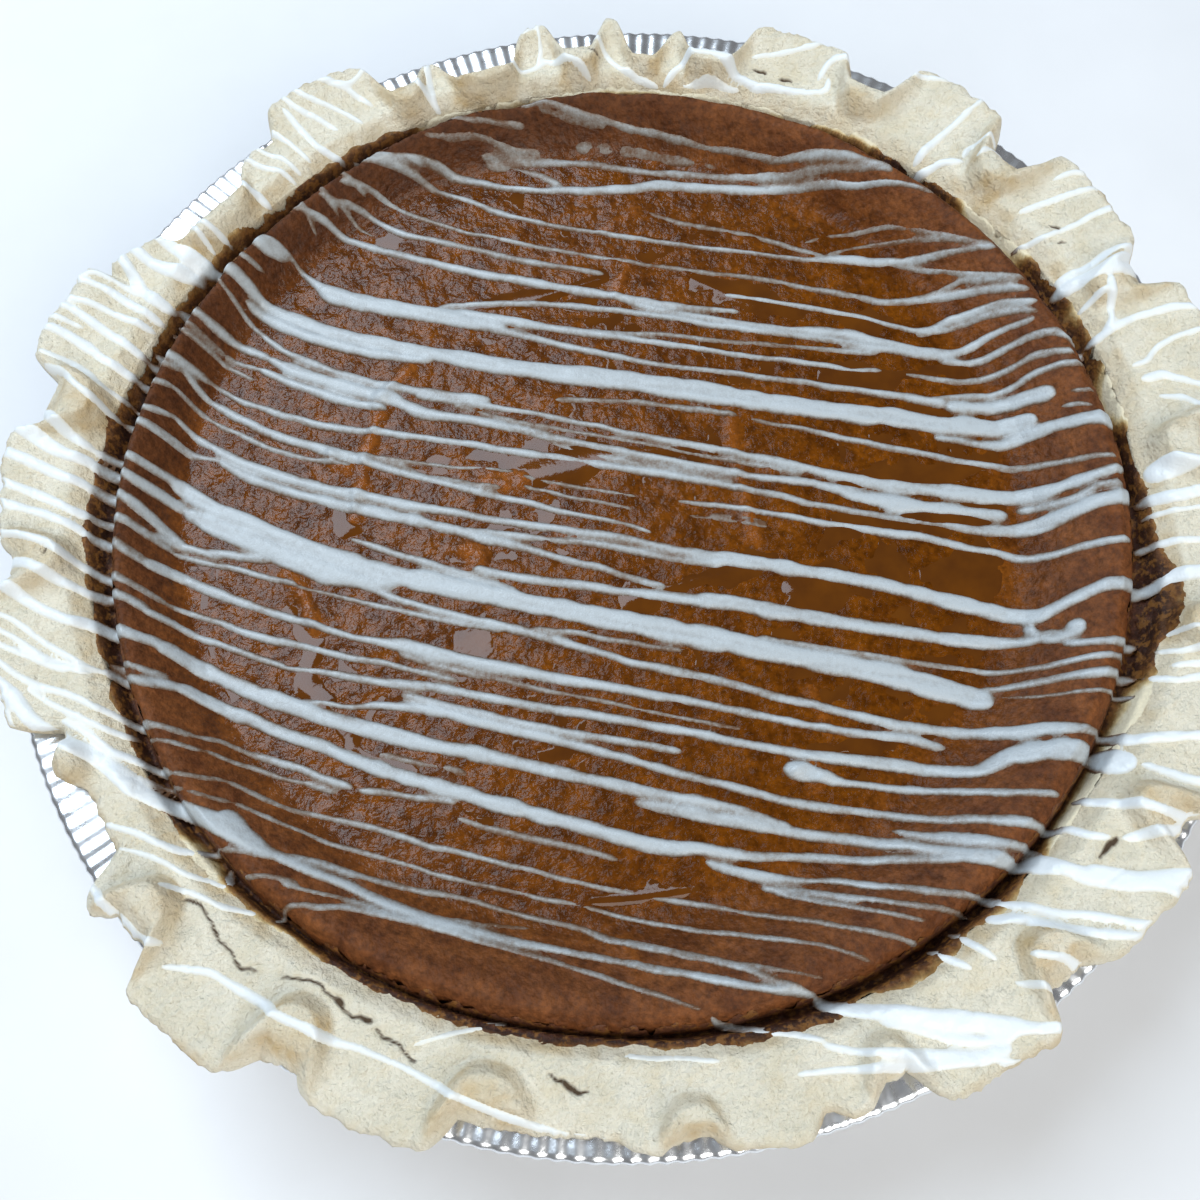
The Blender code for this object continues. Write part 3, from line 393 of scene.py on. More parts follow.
# Icing on the crust: how solid a strand is, then its middle line as angle, radius and width.
RIM_DRIZZLE = (
    # across the left side of the filling's edge
    (0.8, ((139, 104, 2.4), (137.6, 99, 3.4), (136, 96, 3))),
    (0.8, ((143.9, 104.5, 2.6), (143.1, 98, 3.2), (143.1, 94, 2.6))),
    (0.7, ((141.6, 104.5, 1.2), (140.8, 100, 1.5), (140, 96, 1.2))),
    (0.8, ((150.5, 105, 2.2), (150.3, 98, 2.4), (150, 91, 2.2), (149.8, 85, 2))),
    (0.7, ((152, 104.5, 1.4), (152.3, 98, 1.6), (152.3, 91, 1.5), (152, 85.5, 1.4))),
    (0.7, ((153.2, 104.5, 1.2), (153.4, 98, 1.4), (153.5, 92, 1.3), (154, 85, 1))),
    (0.8, ((156.5, 105, 2), (156.9, 99, 2.2), (156.6, 93, 1.8))),
    (0.8, ((157.9, 105.5, 2), (158.1, 101, 2), (157.6, 97, 1.8))),
    (0.8, ((160.5, 105.5, 1.8), (160.9, 101, 1.8), (160.2, 97, 1.5))),
    (0.8, ((163.7, 104.5, 1.4), (164.5, 100, 1.5), (163.5, 95.5, 1.5))),
    (0.8, ((165.9, 105.5, 1.8), (166.3, 99, 2.2), (167.2, 92, 2), (167.6, 85.5, 1.6))),
    (0.8, ((170.3, 108.5, 1.8), (170.7, 102, 1.9), (171.4, 97, 2), (171.8, 92, 2.4))),
    (0.8, ((171.8, 108.5, 2.4), (172.5, 103, 2.4), (173.8, 97, 2.6), (175.4, 90, 2.6))),
    (0.8, ((174.4, 108.5, 2.4), (175.3, 103, 2.6), (176.4, 98, 2.6), (179, 93, 2.4), (180.6, 89.5, 2))),
    (0.8, ((178, 107, 2), (178.9, 99, 2.2), (180.2, 95, 2), (181.6, 91.5, 1.4))),
    (0.8, ((180.2, 107, 2), (181.3, 102, 2.2), (182.6, 98.5, 2.4), (183.8, 95.5, 2.2))),
    (0.8, ((183.6, 108.5, 1.8), (184.8, 104, 1.8), (186.6, 98, 1.8), (189, 92.5, 1.5))),
    (0.8, ((186.8, 107, 2), (187.4, 103, 2.1), (188.9, 98, 2.1), (190.2, 95.5, 2))),
    (0.9, ((191.6, 103.5, 2.4), (193.3, 98.5, 2.6), (194.6, 94, 2.8))),
    (0.8, ((196, 105.5, 1.8), (197.6, 102.5, 2), (199.3, 98, 2.2), (200.3, 93, 2.4))),
    (0.7, ((195.3, 104.5, 1.4), (197.2, 99.5, 1.6), (199, 94.5, 1.6))),
    (0.8, ((203.2, 102, 1.5), (205, 98, 1.6), (207.2, 94, 1.4))),
    (0.7, ((205.3, 102.5, 1.2), (207, 98, 1.2), (209.4, 93.5, 1.2))),
    (0.7, ((210.3, 100.5, 1.2), (212, 97, 1.3), (213.8, 93.2, 1.3))),
    (0.7, ((213, 99.5, 1.2), (214.8, 97, 1.2), (216.7, 94.3, 1.1))),
    (0.7, ((220.4, 101, 1.4), (222, 98.5, 1.6), (225, 95, 1.4), (228, 92.5, 1.1))),
    (0.6, ((224, 102, 1.2), (226, 98.5, 1.3), (229, 95.5, 1.1))),
    (0.7, ((130.8, 104, 1.2), (130.6, 99, 1.5), (131.5, 95, 1.2))),
    (0.6, ((127.8, 103.5, 1.2), (127.2, 99, 1.4), (127.3, 95, 1.1))),
    (0.6, ((124.6, 103, 1.2), (123.6, 99, 1.4), (122.6, 95.5, 1.1))),
    (0.7, ((121.5, 104.5, 1.6), (119.8, 101.5, 1.6), (118.2, 98.5, 1.4), (117, 96, 1.2))),
    # right
    (1.0, ((-2, 122, 1.6), (-2, 113, 2), (-2, 107, 4), (-2, 104.5, 4.4))),
    (0.8, ((3.5, 121, 1.6), (4.5, 117.5, 1.6), (6.2, 114.5, 1.6), (6.8, 110, 1.4))),
    (0.8, ((6, 121, 1.4), (7.5, 117, 1.6), (9, 113, 2.4), (9, 108, 2))),
    (0.8, ((12.3, 127, 1.4), (12.6, 119, 1.4), (12, 113.5, 1.4), (10.9, 111, 1.4), (10.7, 107, 1.2))),
    (0.9, ((14.5, 127.5, 1.8), (15.7, 120, 1.8), (16.2, 113, 1.8), (15.8, 108, 2), (15.6, 103, 1.8))),
    (1.0, ((20.5, 125.5, 4.6), (21.5, 122, 5), (21.7, 117, 4.4), (22.2, 112, 3.8), (22.6, 107.5, 3.2),
           (23.2, 103, 3))),
    (0.9, ((21, 111.5, 2), (19, 110.2, 1.8), (17, 109, 1.8), (16, 106, 1.6))),
    (0.9, ((19.9, 110.3, 1.6), (19.8, 107, 1.5), (19.5, 104, 1.5))),
    (0.8, ((22.6, 123.5, 2), (24, 117, 2), (23.8, 110, 1.8), (24.3, 104, 2))),
    (0.8, ((27.3, 131, 1.4), (27.8, 124, 1.6), (28.5, 118, 1.6), (28.8, 112, 1.4), (29.5, 107, 1.4),
           (30.8, 102.5, 1.2))),
    (0.8, ((29.3, 132, 1.4), (31, 122, 1.6), (32, 117, 1.8), (33, 112, 1.8), (33.6, 107.5, 1.4))),
    (0.8, ((28, 133, 1.4), (31, 131, 1.6), (33, 128.5, 1.6), (34.5, 126.5, 1.4))),
    (0.7, ((32, 126, 1.4), (33.5, 122, 1.6), (34.2, 118, 1.4))),
    (0.8, ((36, 123.5, 1.4), (38, 120.5, 1.8), (40, 119, 1.8), (42, 116.5, 1.6), (43.3, 113, 1.6), (43, 110, 1.4))),
    (0.7, ((38, 119.5, 1.2), (40, 116.5, 1.4), (41.3, 112, 1.4), (41.5, 109.5, 1.2))),
    (0.9, ((42.5, 109.5, 1.6), (44.5, 106.5, 1.8), (45.5, 103.5, 1.8), (46.5, 101.5, 1.6))),
    (0.8, ((46, 121, 1.6), (46.5, 113, 1.8), (47, 108, 2), (47.3, 103, 2))),
    (0.8, ((44.5, 131, 1.4), (45.5, 126, 1.4), (46, 120, 1.4))),
    (0.7, ((47.5, 128, 1.4), (50, 124, 1.6), (52, 122, 1.4), (53.5, 119.5, 1.4))),
    (0.7, ((49, 131.5, 1.4), (51, 128, 1.6), (53, 125, 1.4))),
    (0.9, ((54, 121.5, 1.6), (57, 119, 1.6), (60, 118.6, 1.8), (61.5, 118, 1.8), (62.3, 115.5, 1.6),
           (62.6, 111.5, 1.6))),
    (0.7, ((62.7, 123, 1.4), (64, 119.5, 1.4), (66, 117, 1.4), (68, 114.8, 1.4), (71, 113, 1.2))),
    (0.7, ((62.5, 129, 1.4), (64, 126, 1.4), (68, 124.7, 1.4), (70.5, 125, 1.2))),
    # far side
    (1.0, ((61.5, 113, 1.4), (61, 110, 1.6), (63, 108, 1.8), (66, 107, 2), (69, 106, 2.4), (72, 107.5, 2.6),
           (75, 109, 2.6), (78, 109.3, 2.2), (79.2, 107.5, 1.8), (80, 105.5, 1.6), (80.7, 103.7, 1.2))),
    (0.6, ((71, 104.8, 1.2), (75, 104.8, 1.3), (78.5, 104.3, 1.2))),
    (0.6, ((73, 117, 1.2), (76, 115, 1.2), (79, 114.8, 1))),
    (0.8, ((81, 104, 1.2), (84, 105, 1.4), (86, 107, 1.5), (87.5, 110, 1.5), (88.5, 113, 1.4), (90, 115.5, 1.2))),
    (0.8, ((89.5, 105.2, 1.2), (92, 108, 1.4), (95, 111, 1.5), (96, 109.3, 1.5), (98, 108.5, 1.5), (100, 110, 1.5),
           (103, 112, 1.4), (105, 115.5, 1.4), (107, 120.5, 1.2))),
    (0.7, ((95.2, 119, 1), (95.2, 113, 1.2), (96, 109.5, 1.2))),
    (0.7, ((90, 115, 1.2), (92, 116.5, 1.4), (93.5, 120, 1.4), (94.5, 124, 1.2))),
    (0.7, ((94.5, 119, 1), (97, 117.7, 1.2), (99, 119, 1))),
    (0.8, ((108, 121, 1.4), (108.5, 115, 1.6), (109, 110, 1.6), (109.3, 105, 1.4))),
    (0.8, ((113, 119, 1.4), (110.8, 114, 1.6), (110, 109, 1.6), (108.9, 105, 1.4))),
    (0.7, ((113, 113, 1.2), (113.5, 118, 1.4), (115, 120.5, 1.5), (117, 119, 1.5), (118.5, 121, 1.5),
           (119.5, 125, 1.5), (121, 129, 1.4))),
    (0.7, ((116, 112, 1.2), (117.5, 118, 1.5), (119.5, 123, 1.5), (121, 128, 1.4))),
    (0.7, ((118, 109, 1.2), (120, 116, 1.5), (122, 122, 1.5), (123, 128, 1.4))),
    (0.7, ((121, 110, 1.2), (122, 115, 1.5), (123.5, 121, 1.5), (124, 127, 1.4))),
    (0.9, ((122.5, 104.5, 1.6), (124.2, 109, 1.8), (124.4, 116, 1.8), (124.6, 122, 1.6))),
    (0.9, ((126, 107.5, 1.2), (126.3, 113, 1.4), (127, 119, 1.4), (127.5, 123, 1.2))),
    (0.9, ((127.8, 106.5, 1.2), (128.3, 112, 1.4), (129.5, 117, 1.4), (129.8, 121, 1.2))),
    (0.9, ((129, 105.8, 1.2), (129.5, 110, 1.5), (131, 114, 1.5), (131.5, 119, 1.2))),
    (0.9, ((133.2, 105.5, 1.6), (134, 112, 2), (134.8, 117, 1.6))),
    (0.9, ((140.2, 105, 1.6), (140.7, 111, 1.5), (141.2, 117, 1.4), (142, 119, 1.2))),
    (0.9, ((142.3, 106, 1.2), (141.8, 111, 1.4), (142, 116, 1.4), (142.7, 119, 1.2))),
    # left
    (1.0, ((144.6, 124, 2.2), (144.5, 118, 2.4), (144.6, 113, 2.8), (144.6, 109, 4), (144.2, 104.5, 3))),
    (1.0, ((147, 121, 2.2), (147.3, 115, 2.4), (147, 111, 3.2), (146.5, 108, 3.4), (145.8, 104.5, 2.4))),
    (1.0, ((144.5, 123.5, 2), (146.5, 125.5, 2.4), (148, 123.5, 2.6), (149, 119, 2.6), (150.5, 114, 2.8),
           (151, 110, 2.8), (151.2, 105.5, 2.2))),
    (0.8, ((152.3, 127, 1.4), (151.2, 122, 1.5), (151, 118, 1.5), (151.3, 113, 1.5))),
    (0.9, ((153.3, 132.5, 1.8), (152.6, 127, 2), (152.4, 120, 2), (152.7, 113, 2), (153.1, 106, 1.8))),
    (0.9, ((154.6, 132, 1.6), (154.8, 124, 1.8), (154.4, 117, 1.8), (154.4, 108.5, 1.6), (154.3, 106.5, 1.4))),
    (0.9, ((156, 132.5, 1.8), (155.8, 124, 2), (156.3, 118, 2.2), (157, 113, 2.2), (157.8, 105.5, 2))),
    (0.7, ((157.3, 132.5, 1.2), (157.2, 128, 1.4), (157.2, 119, 1.2))),
    (0.9, ((158.8, 132, 2), (158.5, 124, 2.2), (159, 117, 2.4), (159.8, 112, 2.2), (160.5, 105.5, 1.8))),
    (0.8, ((161, 125.5, 1.4), (161.2, 119, 1.5), (161.8, 114.5, 1.5), (163, 110, 1.5), (163.7, 104.5, 1.4))),
    (0.8, ((162.3, 123.5, 1.2), (162.8, 118, 1.4), (164.3, 113, 1.4), (165, 110.5, 1.6), (166, 105.5, 1.6))),
    (0.9, ((166.8, 125, 2), (167.3, 119, 2.2), (169, 114, 2.2), (170.3, 108, 2))),
    (1.0, ((168, 129.5, 2.6), (169.2, 123, 3), (170.5, 117, 3), (171.5, 112, 3), (171.8, 107.5, 2.6))),
    (1.0, ((171, 129.5, 2.2), (172, 123, 2.6), (173, 117, 2.6), (174, 112, 2.6), (174.4, 107.5, 2.4))),
    (0.9, ((174.3, 127.5, 2), (175.3, 121, 2.2), (176.3, 115, 2.2), (177.5, 110, 2.2), (178, 106, 2))),
    (0.9, ((176.6, 127, 2), (177.3, 121, 2.2), (178, 115, 2.2), (179.2, 109.5, 2.2), (180.4, 106, 2))),
    (0.9, ((180.2, 124.5, 1.6), (180.8, 118, 1.8), (181.8, 113, 1.8), (183.5, 108.5, 1.8), (184.6, 104.5, 1.6))),
    (0.9, ((182.5, 124, 2), (183, 120, 2.2), (184, 116, 2.2), (185.3, 112, 2.2), (186.8, 107, 2), (188, 103, 2))),
    (1.0, ((184.5, 124.5, 2.2), (185.5, 121, 2.4), (187, 117.5, 2.4), (188.8, 113.5, 2.4), (190, 110, 2.4),
           (190.4, 107, 2.4), (191.6, 103.5, 2.4), (193.4, 99.5, 2.2))),
    (0.8, ((187.5, 124.5, 1.2), (189, 120, 1.4), (191, 116, 1.4), (193, 112.5, 1.5), (195, 109, 1.4),
           (196.4, 105.5, 1.4))),
    (0.8, ((189, 124.5, 1.2), (190.5, 120.5, 1.4), (193, 115.5, 1.5), (195, 111, 1.4), (196.3, 107.5, 1.4))),
    (0.7, ((190.5, 124.5, 1.2), (192, 120, 1.4), (194, 115, 1.4), (195.5, 111, 1.2))),
    (0.8, ((192.3, 124, 1.4), (194.5, 120.5, 1.6), (196, 117, 1.6), (198, 111.5, 1.6), (200, 108, 1.6),
           (202.3, 104, 1.4), (205, 99.5, 1.4))),
    # lower left
    (1.0, ((194, 125, 2.8), (197, 121, 3.2), (199, 119.5, 3.2), (201, 117, 3), (203, 114, 2.8), (205, 111, 2.8),
           (207.5, 109, 2.8), (210, 107, 3), (212, 105, 3), (214, 102, 3.2), (216.5, 99.5, 3.4), (220, 97, 4))),
    (0.8, ((196, 119, 1.2), (199, 114, 1.4), (201, 110.5, 1.4), (203, 107, 1.4), (204.7, 103.3, 1.2))),
    (0.9, ((200, 114.5, 1.6), (203, 110, 1.6), (205.5, 107.5, 1.6), (208, 103.7, 1.6), (210.5, 100, 1.4))),
    (0.8, ((202.5, 113.5, 1.4), (206, 109, 1.4), (208, 107, 1.4), (209.8, 104.3, 1.2), (213, 99.5, 1.2))),
    (0.9, ((197, 123.2, 1.4), (199, 123.2, 1.6), (200.6, 123, 1.4))),
    (0.9, ((214.5, 122, 1.6), (217, 121.5, 1.9), (219.5, 121, 1.9), (221.5, 120.5, 1.8), (223, 119.5, 1.8),
           (223.7, 118, 1.6))),
    (0.8, ((211, 115, 1.2), (213.5, 111, 1.5), (215.5, 109, 1.6), (217.5, 107, 1.6), (219.2, 104, 1.6),
           (220.6, 100.5, 1.2))),
    (0.7, ((213.5, 115, 1), (217, 110.5, 1.2), (219.5, 108.5, 1.2), (222, 106, 1.2), (223.8, 104.5, 1.2),
           (221.5, 102.5, 1.2))),
    (0.8, ((219.5, 112, 1.2), (222, 109, 1.4), (225, 107, 1.4), (228, 104, 1.2))),
    (0.9, ((224.8, 121, 1.2), (226.5, 118.5, 1.4), (228.5, 116, 1.7), (232, 115.3, 1.9), (236, 114.8, 1.9),
           (241, 114, 1.7), (243, 113.2, 1.4), (247, 113.4, 1.3), (252, 115, 1.5), (256, 116.3, 1.5),
           (258.8, 117.2, 1.4), (262, 118.2, 1.2), (265, 118.6, 1))),
    (0.8, ((229.3, 104, 1), (229.5, 102.5, 1.3), (229.9, 99.5, 1.4), (232, 97, 1.2))),
    (0.5, ((247, 110, 1), (250, 106, 1.1), (252, 104, 1.1), (255, 102, 1))),
    # near side
    (0.5, ((266, 105.5, 1), (271, 106.2, 1.1), (275, 107.3, 1))),
    (0.8, ((274.6, 100, 1.2), (275, 101.5, 1.4), (277, 102.5, 1.5), (280, 104.5, 1.5), (282, 106, 1.4),
           (284.5, 108.5, 1.2))),
    (0.9, ((281, 112, 1.2), (285, 113.5, 1.6), (288, 115.5, 1.8), (291, 118, 2), (294, 120, 2.4), (296.5, 122.5, 2))),
    (0.9, ((284, 109, 1.4), (287, 112, 1.8), (290, 115, 2), (293, 118, 2), (296, 121.5, 2.2), (298, 122.5, 2))),
    (0.9, ((289.5, 109, 1.4), (292, 112.5, 1.8), (294, 116, 1.8), (296.5, 119, 1.8), (299, 121.5, 1.8))),
    (1.0, ((285.1, 101.3, 2), (286, 103.5, 2.6), (288, 105.5, 3), (291, 108.5, 3.2), (294, 112.5, 3.4),
           (297, 116, 3.4), (299.5, 120.5, 3), (301, 123, 2.4), (303, 126, 1.8))),
    (0.9, ((296.3, 123, 1.4), (298.3, 126, 1.6), (299, 129, 1.4))),
    (0.9, ((297.5, 124.5, 1.6), (300, 128, 2), (301, 130, 1.6))),
    (0.9, ((297.3, 103, 1.6), (298.5, 107, 1.6), (299.3, 109.5, 1.4))),
    (0.9, ((300.2, 102.5, 1.5), (301, 107, 1.6), (301.7, 110.5, 1.4))),
    (0.8, ((301.5, 114.5, 1.4), (303, 118, 1.6), (304, 121, 1.4))),
    (0.9, ((303.8, 112.5, 1.6), (306, 117, 1.8), (307, 121, 1.8), (307.7, 123.5, 1.4))),
    (0.9, ((303.5, 104, 2), (305.5, 107, 2), (307, 111, 2), (309, 116, 2), (311, 121, 2), (312.6, 126, 1.6))),
    (0.9, ((305, 102.3, 1.8), (307, 106.5, 1.8), (309, 112, 1.8), (311.5, 118, 1.8), (313, 123, 1.8),
           (314, 126, 1.4))),
    (1.0, ((310.9, 102.6, 4), (311.6, 104.5, 4.2), (312.4, 107.5, 3), (313, 111, 3), (315, 117, 3), (316.5, 122, 2.4),
           (316.8, 125.5, 1.6))),
    (1.0, ((313.5, 110, 2.2), (315.5, 117, 2.8), (317.5, 122, 3), (319, 126, 2.6), (320, 128, 1.8))),
    (0.9, ((316, 103, 1.8), (316.4, 107, 1.8), (317.5, 110.5, 1.6))),
    (0.9, ((319.2, 102.5, 1.8), (320.3, 107, 2), (321, 110, 2), (322, 116, 2), (323, 120, 2), (323.8, 125, 1.6))),
    (0.9, ((318, 112, 1.8), (320, 116, 2.2), (322, 120, 2.2), (323.5, 124, 1.8))),
    (1.0, ((324.4, 102.8, 4.4), (324.8, 105, 5.6), (325.2, 107.5, 3.6))),
    (0.8, ((325.4, 109, 1.6), (326, 116, 2), (326.8, 121, 1.8), (327.5, 126, 1.4))),
    (0.9, ((326.9, 103.5, 1.8), (328, 108, 2.2), (329.5, 113, 2.2), (331, 118, 2), (332.5, 124, 1.6))),
    (0.8, ((334.7, 104.8, 1.6), (335, 110, 1.6), (336, 114, 1.6), (337.5, 120, 1.4))),
    (0.8, ((336.3, 108, 1.4), (337.5, 115, 1.6), (339, 121, 1.4))),
    (0.7, ((337.7, 105.5, 1.2), (338, 110, 1.2), (339, 114, 1.2), (341, 121, 1.1))),
    (0.7, ((339.7, 106.5, 1.2), (340.3, 112, 1.2), (342.5, 120, 1.1))),
    (1.0, ((344.5, 100.5, 2), (344.9, 104, 2.6), (346.2, 107.5, 3), (346.8, 113, 3), (347.4, 122, 2.6))),
    (0.8, ((349.5, 101.5, 1.8), (350, 107, 1.8), (350.3, 113, 1.8), (350.8, 121, 1.6))),
    (0.7, ((353.3, 102.6, 1.2), (353.5, 108, 1.2), (353.8, 113, 1.2), (354.2, 121, 1.2))),
    (1.0, ((355, 102.6, 2.6), (355, 108, 3), (355.5, 113, 3), (356.2, 122, 2.6))),
)
# End of the icing

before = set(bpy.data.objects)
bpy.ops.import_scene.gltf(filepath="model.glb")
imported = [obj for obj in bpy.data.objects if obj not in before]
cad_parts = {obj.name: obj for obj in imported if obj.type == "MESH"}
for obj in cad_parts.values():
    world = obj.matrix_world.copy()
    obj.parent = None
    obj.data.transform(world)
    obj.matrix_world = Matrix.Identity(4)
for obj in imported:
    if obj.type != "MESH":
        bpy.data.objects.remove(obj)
CAD_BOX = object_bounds()


def turn(angle):
    """The same angle between -180 and 180 degrees."""
    return (angle + 180.0) % 360.0 - 180.0


def ease(value, start, end):
    """0 before start, 1 after end, and smooth in between."""
    t = np.clip((value - start) / (end - start), 0.0, 1.0)
    return t * t * (3.0 - 2.0 * t)


def lattice(ix, iy, seed):
    """A fixed number between 0 and 1 for each point of a whole-number lattice."""
    mixed = (ix * 374761393 + iy * 668265263 + seed * 144665183) & 0x7FFFFFFF
    mixed = ((mixed ^ (mixed >> 13)) * 1274126177) & 0x7FFFFFFF
    return ((mixed ^ (mixed >> 16)) & 0xFFFF) / 65535.0


def grain(x, y, size, seed):
    """Smooth bumps between -1 and 1, about this size across."""
    u = np.asarray(x) / size
    v = np.asarray(y) / size
    iu = np.floor(u).astype(np.int64)
    iv = np.floor(v).astype(np.int64)
    fu = u - iu
    fv = v - iv
    fu = fu * fu * (3.0 - 2.0 * fu)
    fv = fv * fv * (3.0 - 2.0 * fv)
    low = lattice(iu, iv, seed) * (1.0 - fu) + lattice(iu + 1, iv, seed) * fu
    high = lattice(iu, iv + 1, seed) * (1.0 - fu) + lattice(iu + 1, iv + 1, seed) * fu
    return 2.0 * (low * (1.0 - fv) + high * fv) - 1.0


def rim_corners():
    """The rim's outline in plan: angle, reach and height at each corner of each flute."""
    corners = []
    for i, (start, end, reach_start, reach_end, lift, notch) in enumerate(FLUTES):
        following = FLUTES[(i + 1) % len(FLUTES)][0]
        if following < end:
            following += 360.0
        flank = min(FLANK, 0.4 * (following - end))
        corners.append((start, reach_start, RIM_Z + lift))
        corners.append((end, reach_end, RIM_Z + lift))
        corners.append((end + flank, notch, NOTCH_Z))
        corners.append((following - flank, notch, NOTCH_Z))
    return np.array(corners)


CORNERS = rim_corners()


def inner_edge(angle):
    """Radius where the crust's top meets the filling."""
    marks, radii = zip(*INNER_EDGE)
    return np.interp(angle % 360.0, marks, radii, period=360.0)


def rim_edge(angle):
    """Reach and height of the crust's outer edge."""
    turned = (angle - CORNERS[0, 0]) % 360.0 + CORNERS[0, 0]
    reach = np.interp(turned, CORNERS[:, 0], CORNERS[:, 1], right=CORNERS[0, 1])
    height = np.interp(turned, CORNERS[:, 0], CORNERS[:, 2], right=CORNERS[0, 2])
    return reach, height


def knuckle_relief(angle, radius, reach):
    """Height that the knuckles add: a step up along a U open to the outside, then a fall to the edge."""
    relief = np.zeros_like(radius)
    for middle, half, inner, height in KNUCKLES:
        arm = math.radians(half) * reach
        side = np.abs(np.radians(turn(angle - middle)) * radius) / arm
        depth = np.maximum(reach - inner, 1.0)
        inside = (radius - inner) / depth - side ** KNUCKLE_BLUNT
        slope = np.hypot(1.0 / depth, KNUCKLE_BLUNT * side ** (KNUCKLE_BLUNT - 1.0) / arm)
        step = ease(inside / slope, -KNUCKLE_FOOT, KNUCKLE_FOOT)
        fall = 1.0 - ease(radius, inner + KNUCKLE_TOP * depth, inner + depth)
        relief = np.maximum(relief, height * step * fall)
    return relief


def crust_top(angle, radius):
    """Height of the crust's top surface."""
    reach, edge_z = rim_edge(angle)
    band = INNER_Z + (BAND_Z - INNER_Z) * ease(radius - inner_edge(angle), -1.0, BAND_WIDTH)
    sweep = ease(radius, inner_edge(angle) + BAND_WIDTH + 2.0, reach)
    return band + (edge_z - BAND_Z) * sweep + knuckle_relief(angle, radius, reach)


def wall_offset(thickness):
    """Radius of a wall that is this thick inside the tin's outer face, at the floor and at the mouth."""
    lean = math.hypot(1.0, (MOUTH_R - FLOOR_R) / RIM_Z)
    return FLOOR_R - thickness * lean, MOUTH_R - thickness * lean


def wall_point(thickness, z):
    """The point at height z on that wall."""
    low, high = wall_offset(thickness)
    return low + (high - low) * z / RIM_Z, z


def circle_reach(angle, centre, radius):
    """Distance from the tin's axis, at this angle, to a circle that is a little off it."""
    along = centre[0] * np.cos(np.radians(angle)) + centre[1] * np.sin(np.radians(angle))
    return along + np.sqrt(radius ** 2 - centre[0] ** 2 - centre[1] ** 2 + along ** 2)


def filling_top(angle, radius):
    """Height of the filling's top: a flat sunk floor with a puffed, humped edge."""
    foot = circle_reach(angle, SINK_CENTRE, SINK_R)
    edge = circle_reach(angle, FILLING_CENTRE, FILLING_R)
    share = (radius - foot) / (edge - foot)
    shares, heights = zip(*PUFF)
    top = RIM_Z + np.interp(share, shares, heights)
    for middle, half, height in HUMPS:
        spread = turn(angle - middle) / half
        top += height * np.exp(-spread ** 2 - ((share - HUMP_SHARE) / HUMP_WIDTH) ** 2)
    return top


def smooth(values, width):
    """A running mean, weighted to the middle, that keeps both ends."""
    spread = int(round(width))
    if spread < 1:
        return values
    weights = np.hanning(2 * spread + 3)[1:-1]
    padded = np.pad(values, spread, mode="edge")
    return np.convolve(padded, weights / weights.sum(), mode="valid")


def blur(field, width):
    """The same running mean along both sides of a grid."""
    spread = int(round(width))
    weights = np.hanning(2 * spread + 3)[1:-1]
    weights /= weights.sum()
    padded = np.pad(field, spread, mode="edge")
    rows = sum(w * padded[k:k + field.shape[0], :] for k, w in enumerate(weights))
    return sum(w * rows[:, k:k + field.shape[1]] for k, w in enumerate(weights))


def sample(field, x, y):
    """Value of a grid field at points in millimetres."""
    u = np.clip((x + SPAN) / GRID, 0.0, field.shape[0] - 1.001)
    v = np.clip((y + SPAN) / GRID, 0.0, field.shape[1] - 1.001)
    i, j = u.astype(int), v.astype(int)
    s, t = u - i, v - j
    near = field[i, j] * (1.0 - s) + field[i + 1, j] * s
    far = field[i, j + 1] * (1.0 - s) + field[i + 1, j + 1] * s
    return near * (1.0 - t) + far * t


def polar(x, y):
    """Angle in degrees and radius."""
    return np.degrees(np.arctan2(y, x)), np.hypot(x, y)


def stamp(field, points):
    """Raise the field to a row of domes: x, y, radius, height, bluntness."""
    for x, y, radius, height, power in points:
        span = radius + 3.0 * GRID
        i, j = int((x - span + SPAN) / GRID), int((y - span + SPAN) / GRID)
        m, n = int((x + span + SPAN) / GRID) + 2, int((y + span + SPAN) / GRID) + 2
        away = np.hypot(AXIS[i:m, None] - x, AXIS[None, j:n] - y) / radius
        np.maximum(field[i:m, j:n], height * (1.0 - away ** power), out=field[i:m, j:n])


def strand(x, y, width, body, seed):
    """Domes along a strand of icing, every quarter of a millimetre."""
    length = np.concatenate(([0.0], np.cumsum(np.hypot(np.diff(x), np.diff(y)))))
    along = np.arange(0.0, length[-1] + 0.01, 0.25)
    px = smooth(np.interp(along, length, x), 6)
    py = smooth(np.interp(along, length, y), 6)
    wide = smooth(np.interp(along, length, width), 6)
    px = px + 0.14 * grain(along, 0.0 * along, 4.0, seed + 900)
    py = py + 0.20 * grain(along, 0.0 * along, 5.0, seed)
    wide = 1.06 * wide * (1.0 + 0.12 * grain(along, 0.0 * along, 3.0, seed + 300))
    wide = wide * (0.55 + 0.45 * ease(np.minimum(along, along[-1] - along), 0.0, 1.6))
    high = body * np.minimum(0.30 + 0.15 * wide, 0.85)
    high = high * (1.0 + 0.12 * grain(along, 0.0 * along, 6.0, seed + 600))
    power = 2.0 + 2.0 * ease(wide, 2.0, 4.4)
    return zip(px, py, 0.5 * wide, high, power)


